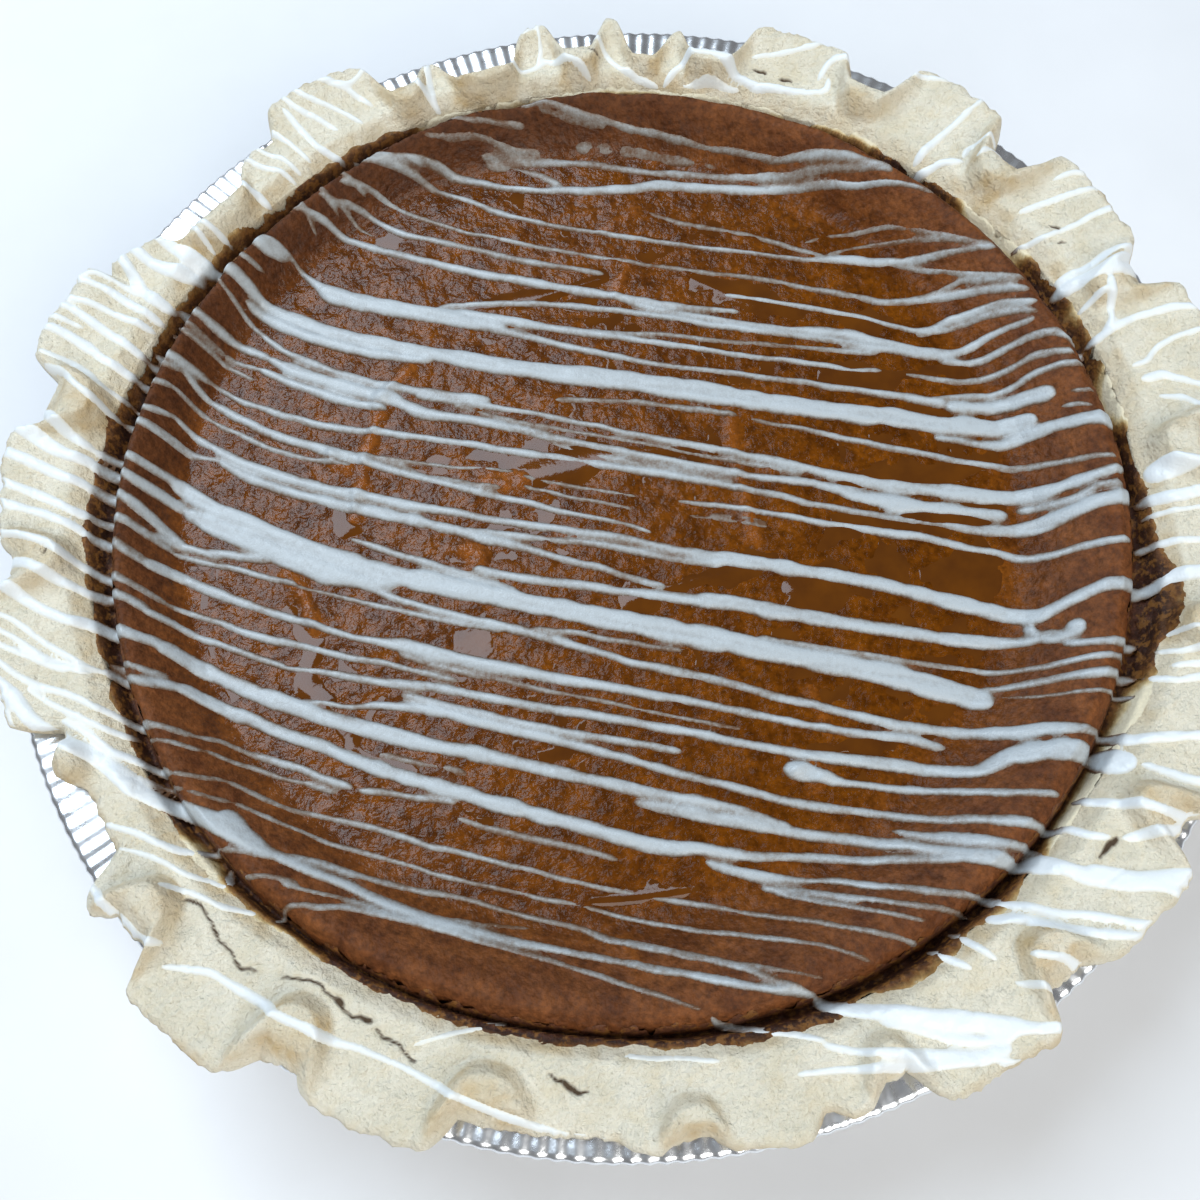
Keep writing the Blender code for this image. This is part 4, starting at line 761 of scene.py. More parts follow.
def skin(name, thick, surface, true, keep, extra):
    """A skin that lies on a surface wherever the field is above zero; its rim stands on the surface."""
    solid = thick > 0.0
    cell = solid[:-1, :-1] | solid[1:, :-1] | solid[:-1, 1:] | solid[1:, 1:]
    middle = AXIS[:-1] + 0.5 * GRID
    cell &= keep(middle[:, None], middle[None, :])
    i, j = np.nonzero(cell)
    size = len(AXIS)
    quads = np.stack([i * size + j, (i + 1) * size + j, (i + 1) * size + j + 1, i * size + j + 1], axis=1)
    used, quads = np.unique(quads, return_inverse=True)
    quads = quads.reshape(-1, 4)
    u, v = used // size, used % size
    slope_x, slope_y = np.gradient(thick, GRID)
    depth = thick[u, v]
    gx, gy = slope_x[u, v], slope_y[u, v]
    steep = np.hypot(gx, gy) + 1e-6
    push = np.where(depth < 0.0, np.minimum(-depth / steep, 0.9 * GRID), 0.0) / steep
    x = AXIS[u] + push * gx
    y = AXIS[v] + push * gy
    over = np.maximum(depth, 0.0)
    z = np.where(over > 0.0, surface(x, y) + over, np.minimum(surface(x, y), true(x, y)) - 0.04)
    made = solid_mesh(name, np.stack([x, y, z], axis=1), quads)
    paint(made, "film", over)
    for label, values in extra(x, y).items():
        paint(made, label, values)
    return made


def solid_mesh(name, points, quads, triangles=()):
    """A smooth-shaded mesh, in millimetres, kept inside the part's own box."""
    low, high = np.array(CAD_BOX[0]) + 5e-6, np.array(CAD_BOX[1]) - 5e-6
    verts = np.clip(points * MM, low, high)
    mesh = bpy.data.meshes.new(name)
    faces = np.concatenate([np.asarray(quads).ravel(), np.asarray(triangles, dtype=int).ravel()])
    counts = np.concatenate([np.full(len(quads), 4), np.full(len(triangles), 3)])
    mesh.vertices.add(len(verts))
    mesh.vertices.foreach_set("co", verts.ravel())
    mesh.loops.add(len(faces))
    mesh.loops.foreach_set("vertex_index", faces.astype(np.int32))
    mesh.polygons.add(len(counts))
    starts = np.concatenate(([0], np.cumsum(counts)[:-1]))
    mesh.polygons.foreach_set("loop_start", starts.astype(np.int32))
    mesh.update(calc_edges=True)
    mesh.validate()
    mesh.shade_smooth()
    made = bpy.data.objects.new(name, mesh)
    bpy.context.scene.collection.objects.link(made)
    return made


def paint(made, label, values):
    """Keep one number for each vertex, for the material to use."""
    layer = made.data.attributes.new(label, "FLOAT", "POINT")
    layer.data.foreach_set("value", np.asarray(values, dtype=np.float32).ravel())


def ring_mesh(name, radii, heights, angles):
    """A closed form lofted round the axis: a row of radii and heights for each angle, pole to pole."""
    steps, rows = radii.shape
    turned = np.radians(angles)[:, None]
    points = np.stack([radii * np.cos(turned), radii * np.sin(turned), heights], axis=-1)[:, 1:-1]
    first = (0.0, 0.0, float(heights[0, 0]))
    last = (0.0, 0.0, float(heights[0, -1]))
    verts = np.vstack([points.reshape(-1, 3), first, last])
    inner = rows - 2
    i = np.arange(steps)[:, None]
    k = np.arange(inner - 1)[None, :]
    following = (i + 1) % steps
    quads = np.stack([i * inner + k, following * inner + k, following * inner + k + 1, i * inner + k + 1], -1)
    start = steps * inner
    around = np.arange(steps)
    after = (around + 1) % steps
    first_cap = np.stack([0 * around + start, after * inner, around * inner], axis=1)
    last_cap = np.stack([0 * around + start + 1, around * inner + inner - 1, after * inner + inner - 1], axis=1)
    return solid_mesh(name, verts, quads.reshape(-1, 4), np.vstack([first_cap, last_cap]))


# The filling's own small forms
SPAN = 126.4
GRID = 0.4
AXIS = np.arange(-SPAN, SPAN + 0.5 * GRID, GRID)
PLATE_X, PLATE_Y = np.meshgrid(AXIS, AXIS, indexing="ij")

# Raised strokes and lumps on the filling: x, y, x, y, width, height.
STROKES = (
    (-43, 38, -50, 30, 2.4, 0.9),
    (-50, 28, -53, 15, 2.6, 1.0),
    (-53, 15, -55, 3, 2.2, 0.8),
    (-60, 18, -57, 14, 2.4, 0.8),
    (-26, 10, -20, 8, 4.5, 0.9),
    (-32, -5, -30, -9, 4.0, 0.8),
    (-69, -8, -62, -20, 2.6, 0.9),
    (8, 75, 0, 70, 2.2, 0.5),
    (5, 60, 2, 52, 2.2, 0.6),
    (24, 22, 26, -8, 2.6, 0.6),
    (34, -40, 36, -50, 2.2, 0.5),
    (-5, -85, -4, -92, 2.0, 0.6),
    (28, -57, 32, -54, 1.8, 0.6),
    (32, -54, 35, -57, 1.8, 0.6),
    (35, -57, 31, -60.5, 1.8, 0.6),
)
# Places where syrup stands on the filling: x, y, x, y, width.
WET = (
    (-61, 5, -56, 2, 8),
    (-70, -17, -62, -24, 6),
    (-62, -24, -64, -30, 6),
    (-64, -30, -61, -37, 6),
    (-61, -37, -55, -45, 6),
    (-55, -45, -30, -62, 6),
    (35, -20, 75, -18, 15),
    (40, -8, 80, -4, 9),
    (45, 3, 78, 6, 9),
    (45, 30, 74, 27, 9),
    (-20, -77, 20, -78, 5),
    (30, -52, 60, -52, 6),
    (-20, 10, 20, 16, 10),
    (0, -20, 30, -12, 8),
    (-40, 50, 0, 58, 6),
    (20, 55, 60, 40, 8),
)


def stroke_points(x0, y0, x1, y1, width, height, seed):
    """Domes along a short straight stroke."""
    count = max(2, int(math.hypot(x1 - x0, y1 - y0) / 0.5))
    for k in range(count + 1):
        share = k / count
        swing = 0.35 * width * math.sin(5.0 * share + seed)
        x = x0 + (x1 - x0) * share + 0.3 * swing
        y = y0 + (y1 - y0) * share + 0.3 * swing
        yield x, y, 0.5 * width * (0.8 + 0.2 * math.sin(9.0 * share + 2.0 * seed)), height, 2.0


def raised_field():
    """Height of the strokes and lumps."""
    field = np.zeros_like(PLATE_X)
    for seed, (x0, y0, x1, y1, width, height) in enumerate(STROKES):
        stamp(field, stroke_points(x0, y0, x1, y1, 1.5 * width, height, seed))
    return blur(np.maximum(field, 0.0), 2)


def wet_field():
    """How wet the filling is, 0 to 1."""
    field = np.zeros_like(PLATE_X)
    for seed, (x0, y0, x1, y1, width) in enumerate(WET):
        stamp(field, stroke_points(x0, y0, x1, y1, width, 1.0, seed))
    return blur(np.maximum(field, 0.0), 4)


def streaks(x, y):
    """Fine streaks along the strands, about -1 to 1."""
    level = y - np.interp(x, *zip(*SWEEP))
    return grain(0.10 * x, level, 0.95, 73) + 0.5 * grain(0.16 * x, level, 0.6, 74)


def icing_field():
    """Thickness of the drizzled icing, in millimetres; below zero where there is none."""
    field = np.full_like(PLATE_X, -0.5)
    for seed, (body, knots) in enumerate(DRIZZLE):
        x, level, width = np.array(knots, dtype=float).T
        y = level + np.interp(x, *zip(*SWEEP))
        stamp(field, strand(x, y, width, body, seed))
    for seed, (body, knots) in enumerate(RIM_DRIZZLE):
        angle, radius, width = np.array(knots, dtype=float).T
        x, y = radius * np.cos(np.radians(angle)), radius * np.sin(np.radians(angle))
        stamp(field, strand(x, y, width, body, seed + 40))
    uneven = 0.035 * grain(PLATE_X, PLATE_Y, 1.2, 71) + 0.05 * grain(PLATE_X, PLATE_Y, 5.0, 72)
    ridged = 0.11 * streaks(PLATE_X, PLATE_Y) * ease(field, 0.25, 0.6) * (np.hypot(PLATE_X, PLATE_Y) < 101.0)
    field = blur(np.maximum(field, -0.5) + ridged, 1) + uneven * (field > -0.2)
    angle, radius = polar(PLATE_X, PLATE_Y)
    return np.minimum(field, 0.9 * (crust_reach(angle) - 0.5 - radius))


def ring_share(x, y):
    """0 on the sunk floor, 1 at the filling's edge."""
    angle, radius = polar(x, y)
    foot = circle_reach(angle, SINK_CENTRE, SINK_R)
    edge = circle_reach(angle, FILLING_CENTRE, FILLING_R)
    return (radius - foot) / (edge - foot)


def waves(x, y):
    """The filling's broad unevenness."""
    return 0.22 * grain(x, y, 6.5, 13) + 0.28 * grain(x, y, 17.0, 14)


def peel(x, y):
    """The filling's fine unevenness, like orange peel on the sunk floor."""
    floor = 1.0 - ease(ring_share(x, y), 0.0, 0.6)
    small = 0.20 * grain(x, y, 2.6, 11) + 0.10 * grain(x, y, 1.4, 12) + 0.12 * grain(x, y, 4.2, 17)
    velvet = 0.10 * grain(x, y, 1.8, 16)
    return floor * small + (1.0 - floor) * velvet


def far_folds(x, y):
    """Soft folds in the far side of the puffed ring."""
    share = ring_share(x, y)
    ring = ease(share, 0.1, 0.5) * (1.0 - ease(share, 0.85, 1.0))
    return (0.9 * grain(x, y, 9.0, 18) + 0.35 * grain(x, y, 4.5, 19)) * ring * ease(y, 30.0, 75.0)


def smooth_filling(x, y):
    """The filling's top without its fine unevenness."""
    angle, radius = polar(x, y)
    return filling_top(angle, radius) + waves(x, y) + far_folds(x, y) + sample(RAISED, x, y)


def filling_surface(x, y):
    """The filling's top with all its small forms."""
    return smooth_filling(x, y) + peel(x, y)


def crust_reach(angle):
    """Reach of the crust's outer edge, softened and ragged; never past the plain edge."""
    turned = np.asarray(angle) % 360.0
    reach = np.interp(turned, EDGE_ANGLES, EDGE_REACH, period=360.0)
    nicks = 0.45 * (1.0 + grain(turned * 2.0, 0.0 * turned, 2.4, 51))
    nicks = nicks + 0.30 * (1.0 + grain(turned * 2.0, 0.0 * turned, 0.9, 53))
    return reach - nicks


def soft_edge():
    """The plain edge with its corners rounded inward."""
    angles = np.arange(0.0, 360.0, 0.1)
    plain = rim_edge(angles)[0]
    wrapped = np.concatenate([plain[-20:], plain, plain[:20]])
    return angles, np.minimum(plain, smooth(wrapped, 14)[20:-20])


# Cracks in the dough: angle and radius along each, then its width.
CRACKS = (
    (((222, 111), (223.6, 109.4), (226, 111), (228, 111.8), (230.3, 112.6), (231.5, 111.6)), 0.9),
    (((233.8, 110.2), (235.2, 108), (237.5, 107.6), (240, 108.4)), 0.7),
    (((239.3, 108.6), (240.4, 108.9), (241.5, 109.4), (242.9, 108.8)), 1.3),
    (((243.6, 109.6), (245, 110.2), (246.4, 110.9), (248, 112)), 0.7),
    (((259.6, 108.7), (260.6, 110), (261.7, 111.2), (263.1, 111.1)), 1.4),
    (((315.3, 110.5), (316.4, 110.9), (317.8, 111.2)), 1.6),
    (((65.4, 110.2), (66.8, 109.5)), 1.0),
    (((68.6, 110.1), (70.2, 110.6)), 1.0),
    (((29.2, 111.6), (30.4, 111.2)), 0.9),
    (((27.6, 110.8), (28.0, 109.8)), 0.8),
    (((88.6, 109.8), (89.7, 110.6)), 1.0),
    (((182.2, 111.8), (183.4, 112.6)), 0.7),
)


def crack_field():
    """Depth of the cracks in the dough, 0 to 1."""
    field = np.zeros_like(PLATE_X)
    for seed, (knots, width) in enumerate(CRACKS):
        angle, radius = np.array(knots, dtype=float).T
        x, y = radius * np.cos(np.radians(angle)), radius * np.sin(np.radians(angle))
        length = np.concatenate(([0.0], np.cumsum(np.hypot(np.diff(x), np.diff(y)))))
        for along in np.arange(0.0, length[-1], 0.2):
            side = 0.30 * math.sin(1.1 * along + seed) + 0.12 * math.sin(2.9 * along)
            px, py = np.interp(along, length, x) + 0.3 * side, np.interp(along, length, y) + side
            size = 0.5 * width * (0.8 + 0.4 * math.sin(0.9 * along + seed))
            stamp(field, [(px, py, max(size, 0.42), 1.0, 2.0)])
    return np.maximum(field, 0.0)


def crust_detail(x, y):
    """The dough's small unevenness."""
    soft = 0.40 * grain(x, y, 9.0, 31) + 0.28 * grain(x, y, 3.4, 32) + 0.13 * grain(x, y, 1.3, 33)
    creases = np.maximum(0.0, 0.11 - np.abs(grain(x, y, 6.0, 34))) + np.maximum(0.0, 0.10 - np.abs(grain(x, y, 2.8, 35)))
    return soft - 2.0 * creases - 0.7 * sample(CRACKED, x, y)


def crust_surface(x, y):
    """The crust's top with all its small forms."""
    angle, radius = polar(x, y)
    rounding = np.clip(1.0 - (crust_reach(angle) - radius) / 2.0, 0.0, 1.0)
    return crust_top(angle, radius) + crust_detail(x, y) - 1.3 * rounding ** 2


def groove_place(x, y):
    """Angle, and share of the way from the filling's edge to the crust."""
    angle, radius = polar(x, y)
    edge = circle_reach(angle, FILLING_CENTRE, FILLING_R) - 0.3
    inner = inner_edge(angle) - 0.4
    return angle, (radius - edge) / (inner - edge)


def bridge_surface(x, y):
    """The pie's whole top, straight across the groove between filling and crust."""
    return across_groove(smooth_filling(x, y), x, y)


def true_surface(x, y):
    """The same with the filling's fine unevenness."""
    return across_groove(filling_surface(x, y), x, y)


def across_groove(low, x, y):
    """Join the filling's top to the crust's."""
    share = np.clip(groove_place(x, y)[1], 0.0, 1.0)
    high = crust_surface(x, y)
    across = low + (high - low) * share - 1.3 * np.sin(np.pi * share)
    return np.where(share <= 0.0, low, np.where(share >= 1.0, high, across))


def charred(angle):
    """How darkly the groove is baked, 0 to 1."""
    dark = np.zeros_like(angle)
    for middle, half, share in CHARRED:
        dark = np.maximum(dark, share * ease(np.abs(turn(angle - middle)), half + 5.0, half))
    return dark


def groove_surface(x, y):
    """The pie's whole top, dipping in the groove."""
    angle, share = groove_place(x, y)
    depth = 1.3 + 0.5 * charred(angle)
    dip = depth * (1.0 - np.clip(np.abs(2.0 * share - 1.0), 0.0, 1.0) ** 2)
    crumbs = 0.55 * grain(x, y, 2.3, 61) + 0.45 * grain(x, y, 1.1, 62)
    return true_surface(x, y) - dip + crumbs * ease(dip, 0.0, 1.0)


def make_crust():
    """The baked crust."""
    angles = np.arange(CRUST_STEPS) * 360.0 / CRUST_STEPS
    edge_z = rim_edge(angles)[1]
    reach = crust_reach(angles)
    inner = inner_edge(angles)
    shell_out = FOIL + GAP
    inside = shell_out + DOUGH
    cosine, sine = np.cos(np.radians(angles)), np.sin(np.radians(angles))
    lip_r = reach - 1.2
    lip_z = np.maximum(SEAT_Z, crust_top(angles, lip_r) - LIP)
    seat_r = np.minimum(wall_point(shell_out, RIM_Z)[0] + 6.0, reach - 3.0)
    full = np.ones(CRUST_STEPS)
    rows = [
        (0.0 * full, shell_out * full),
        ((wall_point(shell_out, shell_out)[0] - FLOOR_CORNER) * full, shell_out * full),
        (wall_point(shell_out, shell_out + FLOOR_CORNER)[0] * full, (shell_out + FLOOR_CORNER) * full),
        (wall_point(shell_out, SEAT_Z)[0] * full, SEAT_Z * full),
        (seat_r, SEAT_Z * full),
        (lip_r, lip_z),
        (reach, np.maximum(edge_z - 0.6 * LIP, lip_z + 0.3)),
    ]
    for share in np.linspace(0.0, 1.0, TOP_ROWS):
        radius = (reach - 0.25) + (inner - reach + 0.25) * share
        rows.append((radius, crust_surface(radius * cosine, radius * sine)))
    rows += [
        (inner, (RIM_Z - 3.6) * full),
        (wall_point(inside, RIM_Z - 6.0)[0] * full, (RIM_Z - 6.0) * full),
        (wall_point(inside, inside + FLOOR_CORNER)[0] * full, (inside + FLOOR_CORNER) * full),
        ((wall_point(inside, inside)[0] - FLOOR_CORNER) * full, inside * full),
        (0.0 * full, inside * full),
    ]
    radii = np.stack([row[0] for row in rows], axis=1)
    heights = np.stack([row[1] for row in rows], axis=1)
    made = ring_mesh("baked_crust", radii, heights, angles)
    x, y, z = mesh_points(made)
    angle, radius = polar(x, y)
    out, high = rim_edge(angle)
    # Tan on the knuckles' steep faces is painted shade; tan near the outer edge and on the knuckle tops is browning.
    step = np.abs(crust_top(angle, radius + 0.6) - crust_top(angle, radius - 0.6))
    patch = ease(grain(x, y, 9.0, 41) + 0.6 * grain(x, y, 3.0, 42), -0.1, 0.7)
    browning_and_shade = 0.9 * ease(step, 0.35, 1.3) * (0.35 + 0.65 * patch)
    browning_and_shade = np.maximum(browning_and_shade, 0.8 * ease(radius, out - 3.0, out) * patch)
    crown = ease(knuckle_relief(angle, radius, out), 0.3, 1.3) * ease(grain(x, y, 5.0, 44), -0.7, 0.5)
    browning_and_shade = np.maximum(browning_and_shade, 0.65 * crown)
    browning_and_shade = np.where(z < RIM_Z - 1.0, 0.0, browning_and_shade)
    # Painted shade: the cracks are marked so the material can darken them where shade falls.
    paint(made, "crack_shade", np.where(z > RIM_Z, sample(CRACKED, x, y), 0.0))
    paint(made, "browning_and_shade", np.clip(browning_and_shade, 0.0, 1.0))
    damp = 1.0 - ease(radius - inner_edge(angle), 0.0, 1.8)
    paint(made, "damp", np.where(z > RIM_Z - 4.0, damp * (0.5 + 0.5 * grain(x, y, 2.5, 43)), 0.0))
    return made


def make_tin():
    """The pressed foil tin, crimped round its flange and pleated down its wall."""
    angles = np.arange(TIN_STEPS) * 360.0 / TIN_STEPS
    turned = np.radians(angles)
    full = np.ones(TIN_STEPS)
    shift = 1.6 * grain(angles, 0.0 * angles, 7.0, 81)
    depth = 0.75 + 0.25 * grain(angles, 0.0 * angles, 3.0, 82)
    crimp = 0.5 * (1.0 - np.cos(CRIMPS * turned + shift)) * depth
    pleat = 0.5 * (1.0 - np.cos(PLEATS * turned + shift))
    bead_r, bead_z = RIM_R - ROLL_R, RIM_Z - ROLL_R
    rows = [(0.0 * full, 0.0 * full), ((FLOOR_R - FLOOR_CORNER) * full, 0.0 * full)]
    rows.append(((FLOOR_R - 0.8) * full, 0.6 * full))
    for z in (FLOOR_CORNER, 8.0, 18.0, 28.0, 34.0, RIM_Z - FOIL - 1.0):
        rows.append((wall_point(0.0, z)[0] - 0.33 * pleat, z * full))
    for radius in (MOUTH_R + 1.0, MOUTH_R + 3.0, MOUTH_R + 5.0, MOUTH_R + 7.0, bead_r - 1.3):
        rows.append((radius * full, RIM_Z - FOIL - 0.30 * crimp))
    for bend in (200.0, 240.0, 270.0, 300.0, 330.0, 0.0, 25.0, 50.0, 75.0, 95.0):
        reach = ROLL_R - 0.35 * crimp
        rows.append((bead_r + reach * math.cos(math.radians(bend)), bead_z + reach * math.sin(math.radians(bend))))
    for radius in (bead_r - 1.3, MOUTH_R + 7.0, MOUTH_R + 5.0, MOUTH_R + 3.0, MOUTH_R + 1.0):
        rows.append((radius * full, RIM_Z - 0.02 - 0.30 * crimp))
    for z in (RIM_Z - FOIL - 1.2, 20.0, FLOOR_CORNER + FOIL):
        rows.append((wall_point(FOIL, z)[0] * full, z * full))
    rows.append(((FLOOR_R - FLOOR_CORNER - FOIL) * full, FOIL * full))
    rows.append((0.0 * full, FOIL * full))
    radii = np.stack([row[0] for row in rows], axis=1)
    heights = np.stack([row[1] for row in rows], axis=1)
    return ring_mesh("pressed_foil_tin", radii, heights, angles)


def mesh_points(made):
    """Vertices of a mesh in millimetres."""
    flat = np.empty(3 * len(made.data.vertices))
    made.data.vertices.foreach_get("co", flat)
    return (flat.reshape(-1, 3) / MM).T


def make_filling():
    """The set filling."""
    angles = np.arange(FILLING_STEPS) * 360.0 / FILLING_STEPS
    edge = circle_reach(angles, FILLING_CENTRE, FILLING_R)
    inside = FOIL + GAP + DOUGH + GAP
    cosine, sine = np.cos(np.radians(angles)), np.sin(np.radians(angles))
    full = np.ones(FILLING_STEPS)
    rows = []
    torn = 1.0 + grain(angles, 0.0 * angles, 1.6, 52) + 0.7 * grain(3.1 * angles, 0.0 * angles, 2.4, 54)
    torn = torn * (0.45 + 0.35 * charred(angles))
    for share in np.linspace(0.0, 1.0, FILLING_ROWS):
        radius = (edge - torn * ease(share, 0.92, 1.0)) * share ** 0.8
        rows.append((radius, filling_surface(radius * cosine, radius * sine)))
    rows += [
        (wall_point(inside, SIDE_Z)[0] * full, SIDE_Z * full),
        (wall_point(inside, inside + FLOOR_CORNER)[0] * full, (inside + FLOOR_CORNER) * full),
        ((wall_point(inside, inside)[0] - FLOOR_CORNER) * full, inside * full),
        (0.0 * full, inside * full),
    ]
    radii = np.stack([row[0] for row in rows], axis=1)
    heights = np.stack([row[1] for row in rows], axis=1)
    made = ring_mesh("pumpkin_custard", radii, heights, angles)
    x, y, z = mesh_points(made)
    paint(made, "ring", ease(ring_share(x, y), -0.15, 0.65))
    paint(made, "brown", ease(ring_share(x, y), -0.4, 0.7))
    paint(made, "haze", sample(COVER, x, y))
    paint(made, "sheen", ease(x - 0.4 * y, 55.0, -45.0))
    # Painted shade: the puffed ring is darkened towards its far and left sides, which face away from the light.
    paint(made, "painted_ring_shade", ease(0.7 * (y - x), 28.0, 85.0) * ease(ring_share(x, y), -0.1, 0.4))
    paint(made, "rust", np.clip(sample(RAISED, x, y) / 0.6, 0.0, 1.0))
    return made


class Graph:
    """A short way to write a material's nodes."""

    def __init__(self, name):
        self.material = bpy.data.materials.new(name)
        self.material.use_nodes = True
        self.nodes = self.material.node_tree.nodes
        self.links = self.material.node_tree.links
        self.shader = self.nodes["Principled BSDF"]
        self.place = self.nodes.new("ShaderNodeTexCoord").outputs["Object"]

    def feed(self, socket, value):
        """Link a node's output, or set a plain value."""
        if isinstance(value, bpy.types.NodeSocket):
            self.links.new(value, socket)
        elif hasattr(value, "__len__"):
            socket.default_value = (*value, 1.0)[:4]
        else:
            socket.default_value = value

    def attribute(self, label):
        """A number kept on the mesh."""
        node = self.nodes.new("ShaderNodeAttribute")
        node.attribute_name = label
        return node.outputs["Fac"]

    def noise(self, size, detail=3.0, rough=0.55):
        """Noise with features of about this many millimetres."""
        node = self.nodes.new("ShaderNodeTexNoise")
        node.inputs["Scale"].default_value = 1.0 / (size * MM)
        node.inputs["Detail"].default_value = detail
        node.inputs["Roughness"].default_value = rough
        self.links.new(self.place, node.inputs["Vector"])
        return node.outputs["Fac"]

    def sums(self, kind, first, second=0.0, third=0.0):
        """A math node."""
        node = self.nodes.new("ShaderNodeMath")
        node.operation = kind
        for socket, value in zip(node.inputs, (first, second, third)):
            self.feed(socket, value)
        return node.outputs[0]

    def span(self, value, start, end, low=0.0, high=1.0):
        """Map a range onto another, clamped."""
        node = self.nodes.new("ShaderNodeMapRange")
        for socket, number in zip(node.inputs, (value, start, end, low, high)):
            self.feed(socket, number)
        return node.outputs[0]

    def blend(self, share, first, second, kind="MIX"):
        """Mix two colours."""
        node = self.nodes.new("ShaderNodeMixRGB")
        node.blend_type = kind
        self.feed(node.inputs[0], share)
        self.feed(node.inputs[1], first)
        self.feed(node.inputs[2], second)
        return node.outputs[0]

    def ramp(self, value, stops):
        """A row of colours by value."""
        node = self.nodes.new("ShaderNodeValToRGB")
        self.links.new(value, node.inputs[0])
        elements = node.color_ramp.elements
        while len(elements) < len(stops):
            elements.new(0.5)
        for element, (place, colour) in zip(elements, stops):
            element.position = place
            element.color = (*colour, 1.0)
        return node.outputs[0]

    def bump(self, height, distance, strength=1.0, under=None):
        """A bump; returns its normal."""
        node = self.nodes.new("ShaderNodeBump")
        node.inputs["Distance"].default_value = distance * MM
        node.inputs["Strength"].default_value = strength
        self.links.new(height, node.inputs["Height"])
        if under is not None:
            self.links.new(under, node.inputs["Normal"])
        return node.outputs[0]

    def finish(self, colour, rough, normal=None, **others):
        """Feed the shader."""
        self.feed(self.shader.inputs["Base Color"], colour)
        self.feed(self.shader.inputs["Roughness"], rough)
        if normal is not None:
            self.links.new(normal, self.shader.inputs["Normal"])
        for label, value in others.items():
            self.feed(self.shader.inputs[label.replace("_", " ")], value)
        return self.material


def crust_material():
    """Pale baked dough, tan where browned and tan as painted shade on the knuckles' steep faces."""
    g = Graph("baked_dough")
    cloud = g.noise(9.0)
    pale = g.ramp(cloud, ((0.35, (0.80, 0.735, 0.58)), (0.6, (0.88, 0.815, 0.665))))
    speck = g.span(g.noise(1.5, 6.0, 0.7), 0.30, 0.46, 0.30, 0.0)
    pale = g.blend(speck, pale, (0.58, 0.54, 0.38))
    warm = g.span(g.noise(5.0, 6.0, 0.65), 0.48, 0.66, 0.0, 0.6)
    pale = g.blend(warm, pale, (0.79, 0.69, 0.49))
    # Tan is browning at the outer edge and knuckle tops, and painted shade on the knuckles' steep faces.
    browning_and_shade = g.sums("MULTIPLY", g.attribute("browning_and_shade"), g.span(g.noise(3.0), 0.3, 0.65, 0.4, 1.0))
    baked = g.blend(browning_and_shade, pale, (0.64, 0.46, 0.23))
    damp = g.sums("MULTIPLY", g.attribute("damp"), 0.6)
    colour = g.blend(damp, baked, (0.46, 0.32, 0.14))
    # Painted shade: the cracks are coloured nearly black where shade falls in them.
    colour = g.blend(g.span(g.attribute("crack_shade"), 0.25, 0.8), colour, (0.09, 0.055, 0.03))
    fine = g.bump(g.noise(1.1, 6.0, 0.7), 0.85)
    normal = g.bump(g.noise(3.4, 5.0, 0.6), 1.5, under=fine)
    return g.finish(colour, 0.66, normal, Specular_IOR_Level=0.3)


def filling_material():
    """Pumpkin custard: brown and matte at its edge, darker and glossier on the sunk floor."""
    g = Graph("pumpkin_custard")
    ring = g.attribute("ring")
    cloud = g.noise(6.0, 5.0)
    floor = g.ramp(cloud, ((0.36, (0.072, 0.019, 0.001)), (0.64, (0.135, 0.038, 0.002))))
    matte = g.ramp(cloud, ((0.36, (0.088, 0.027, 0.008)), (0.64, (0.152, 0.050, 0.014))))
    colour = g.blend(g.attribute("brown"), floor, matte)
    # Painted shade: the ring's colour is darkened towards its far and left sides.
    colour = g.blend(g.sums("MULTIPLY", g.attribute("painted_ring_shade"), 0.6), colour, (0.055, 0.018, 0.006))
    colour = g.blend(g.sums("MULTIPLY", g.attribute("rust"), 0.75), colour, (0.22, 0.065, 0.009))
    haze = g.span(g.attribute("haze"), 0.5, 1.0, 0.0, 0.45)
    haze = g.sums("MULTIPLY", haze, g.span(g.noise(1.8, 4.0), 0.46, 0.62))
    colour = g.blend(haze, colour, (0.19, 0.16, 0.14))
    mottle = g.span(g.noise(1.3, 4.0, 0.65), 0.33, 0.67, 0.66, 1.42)
    colour = g.blend(1.0, colour, mottle, "MULTIPLY")
    rough = g.blend(ring, (0.16, 0.16, 0.16), (0.60, 0.60, 0.60))
    fine = g.bump(g.noise(0.9, 4.0), 0.15)
    normal = g.bump(g.noise(2.4, 3.0), 0.75, under=fine)
    sheen = g.span(g.attribute("sheen"), 0.0, 1.0, 0.06, 0.26)
    gloss = g.blend(ring, sheen, (0.15, 0.15, 0.15))
    return g.finish(colour, rough, normal, Specular_IOR_Level=gloss)


def syrup_material():
    """Amber syrup that stands on the filling."""
    g = Graph("amber_syrup")
    colour = g.ramp(g.noise(8.0), ((0.3, (0.070, 0.019, 0.001)), (0.7, (0.115, 0.033, 0.001))))
    return g.finish(colour, 0.07, g.bump(g.noise(3.0), 0.05), Specular_IOR_Level=0.3)


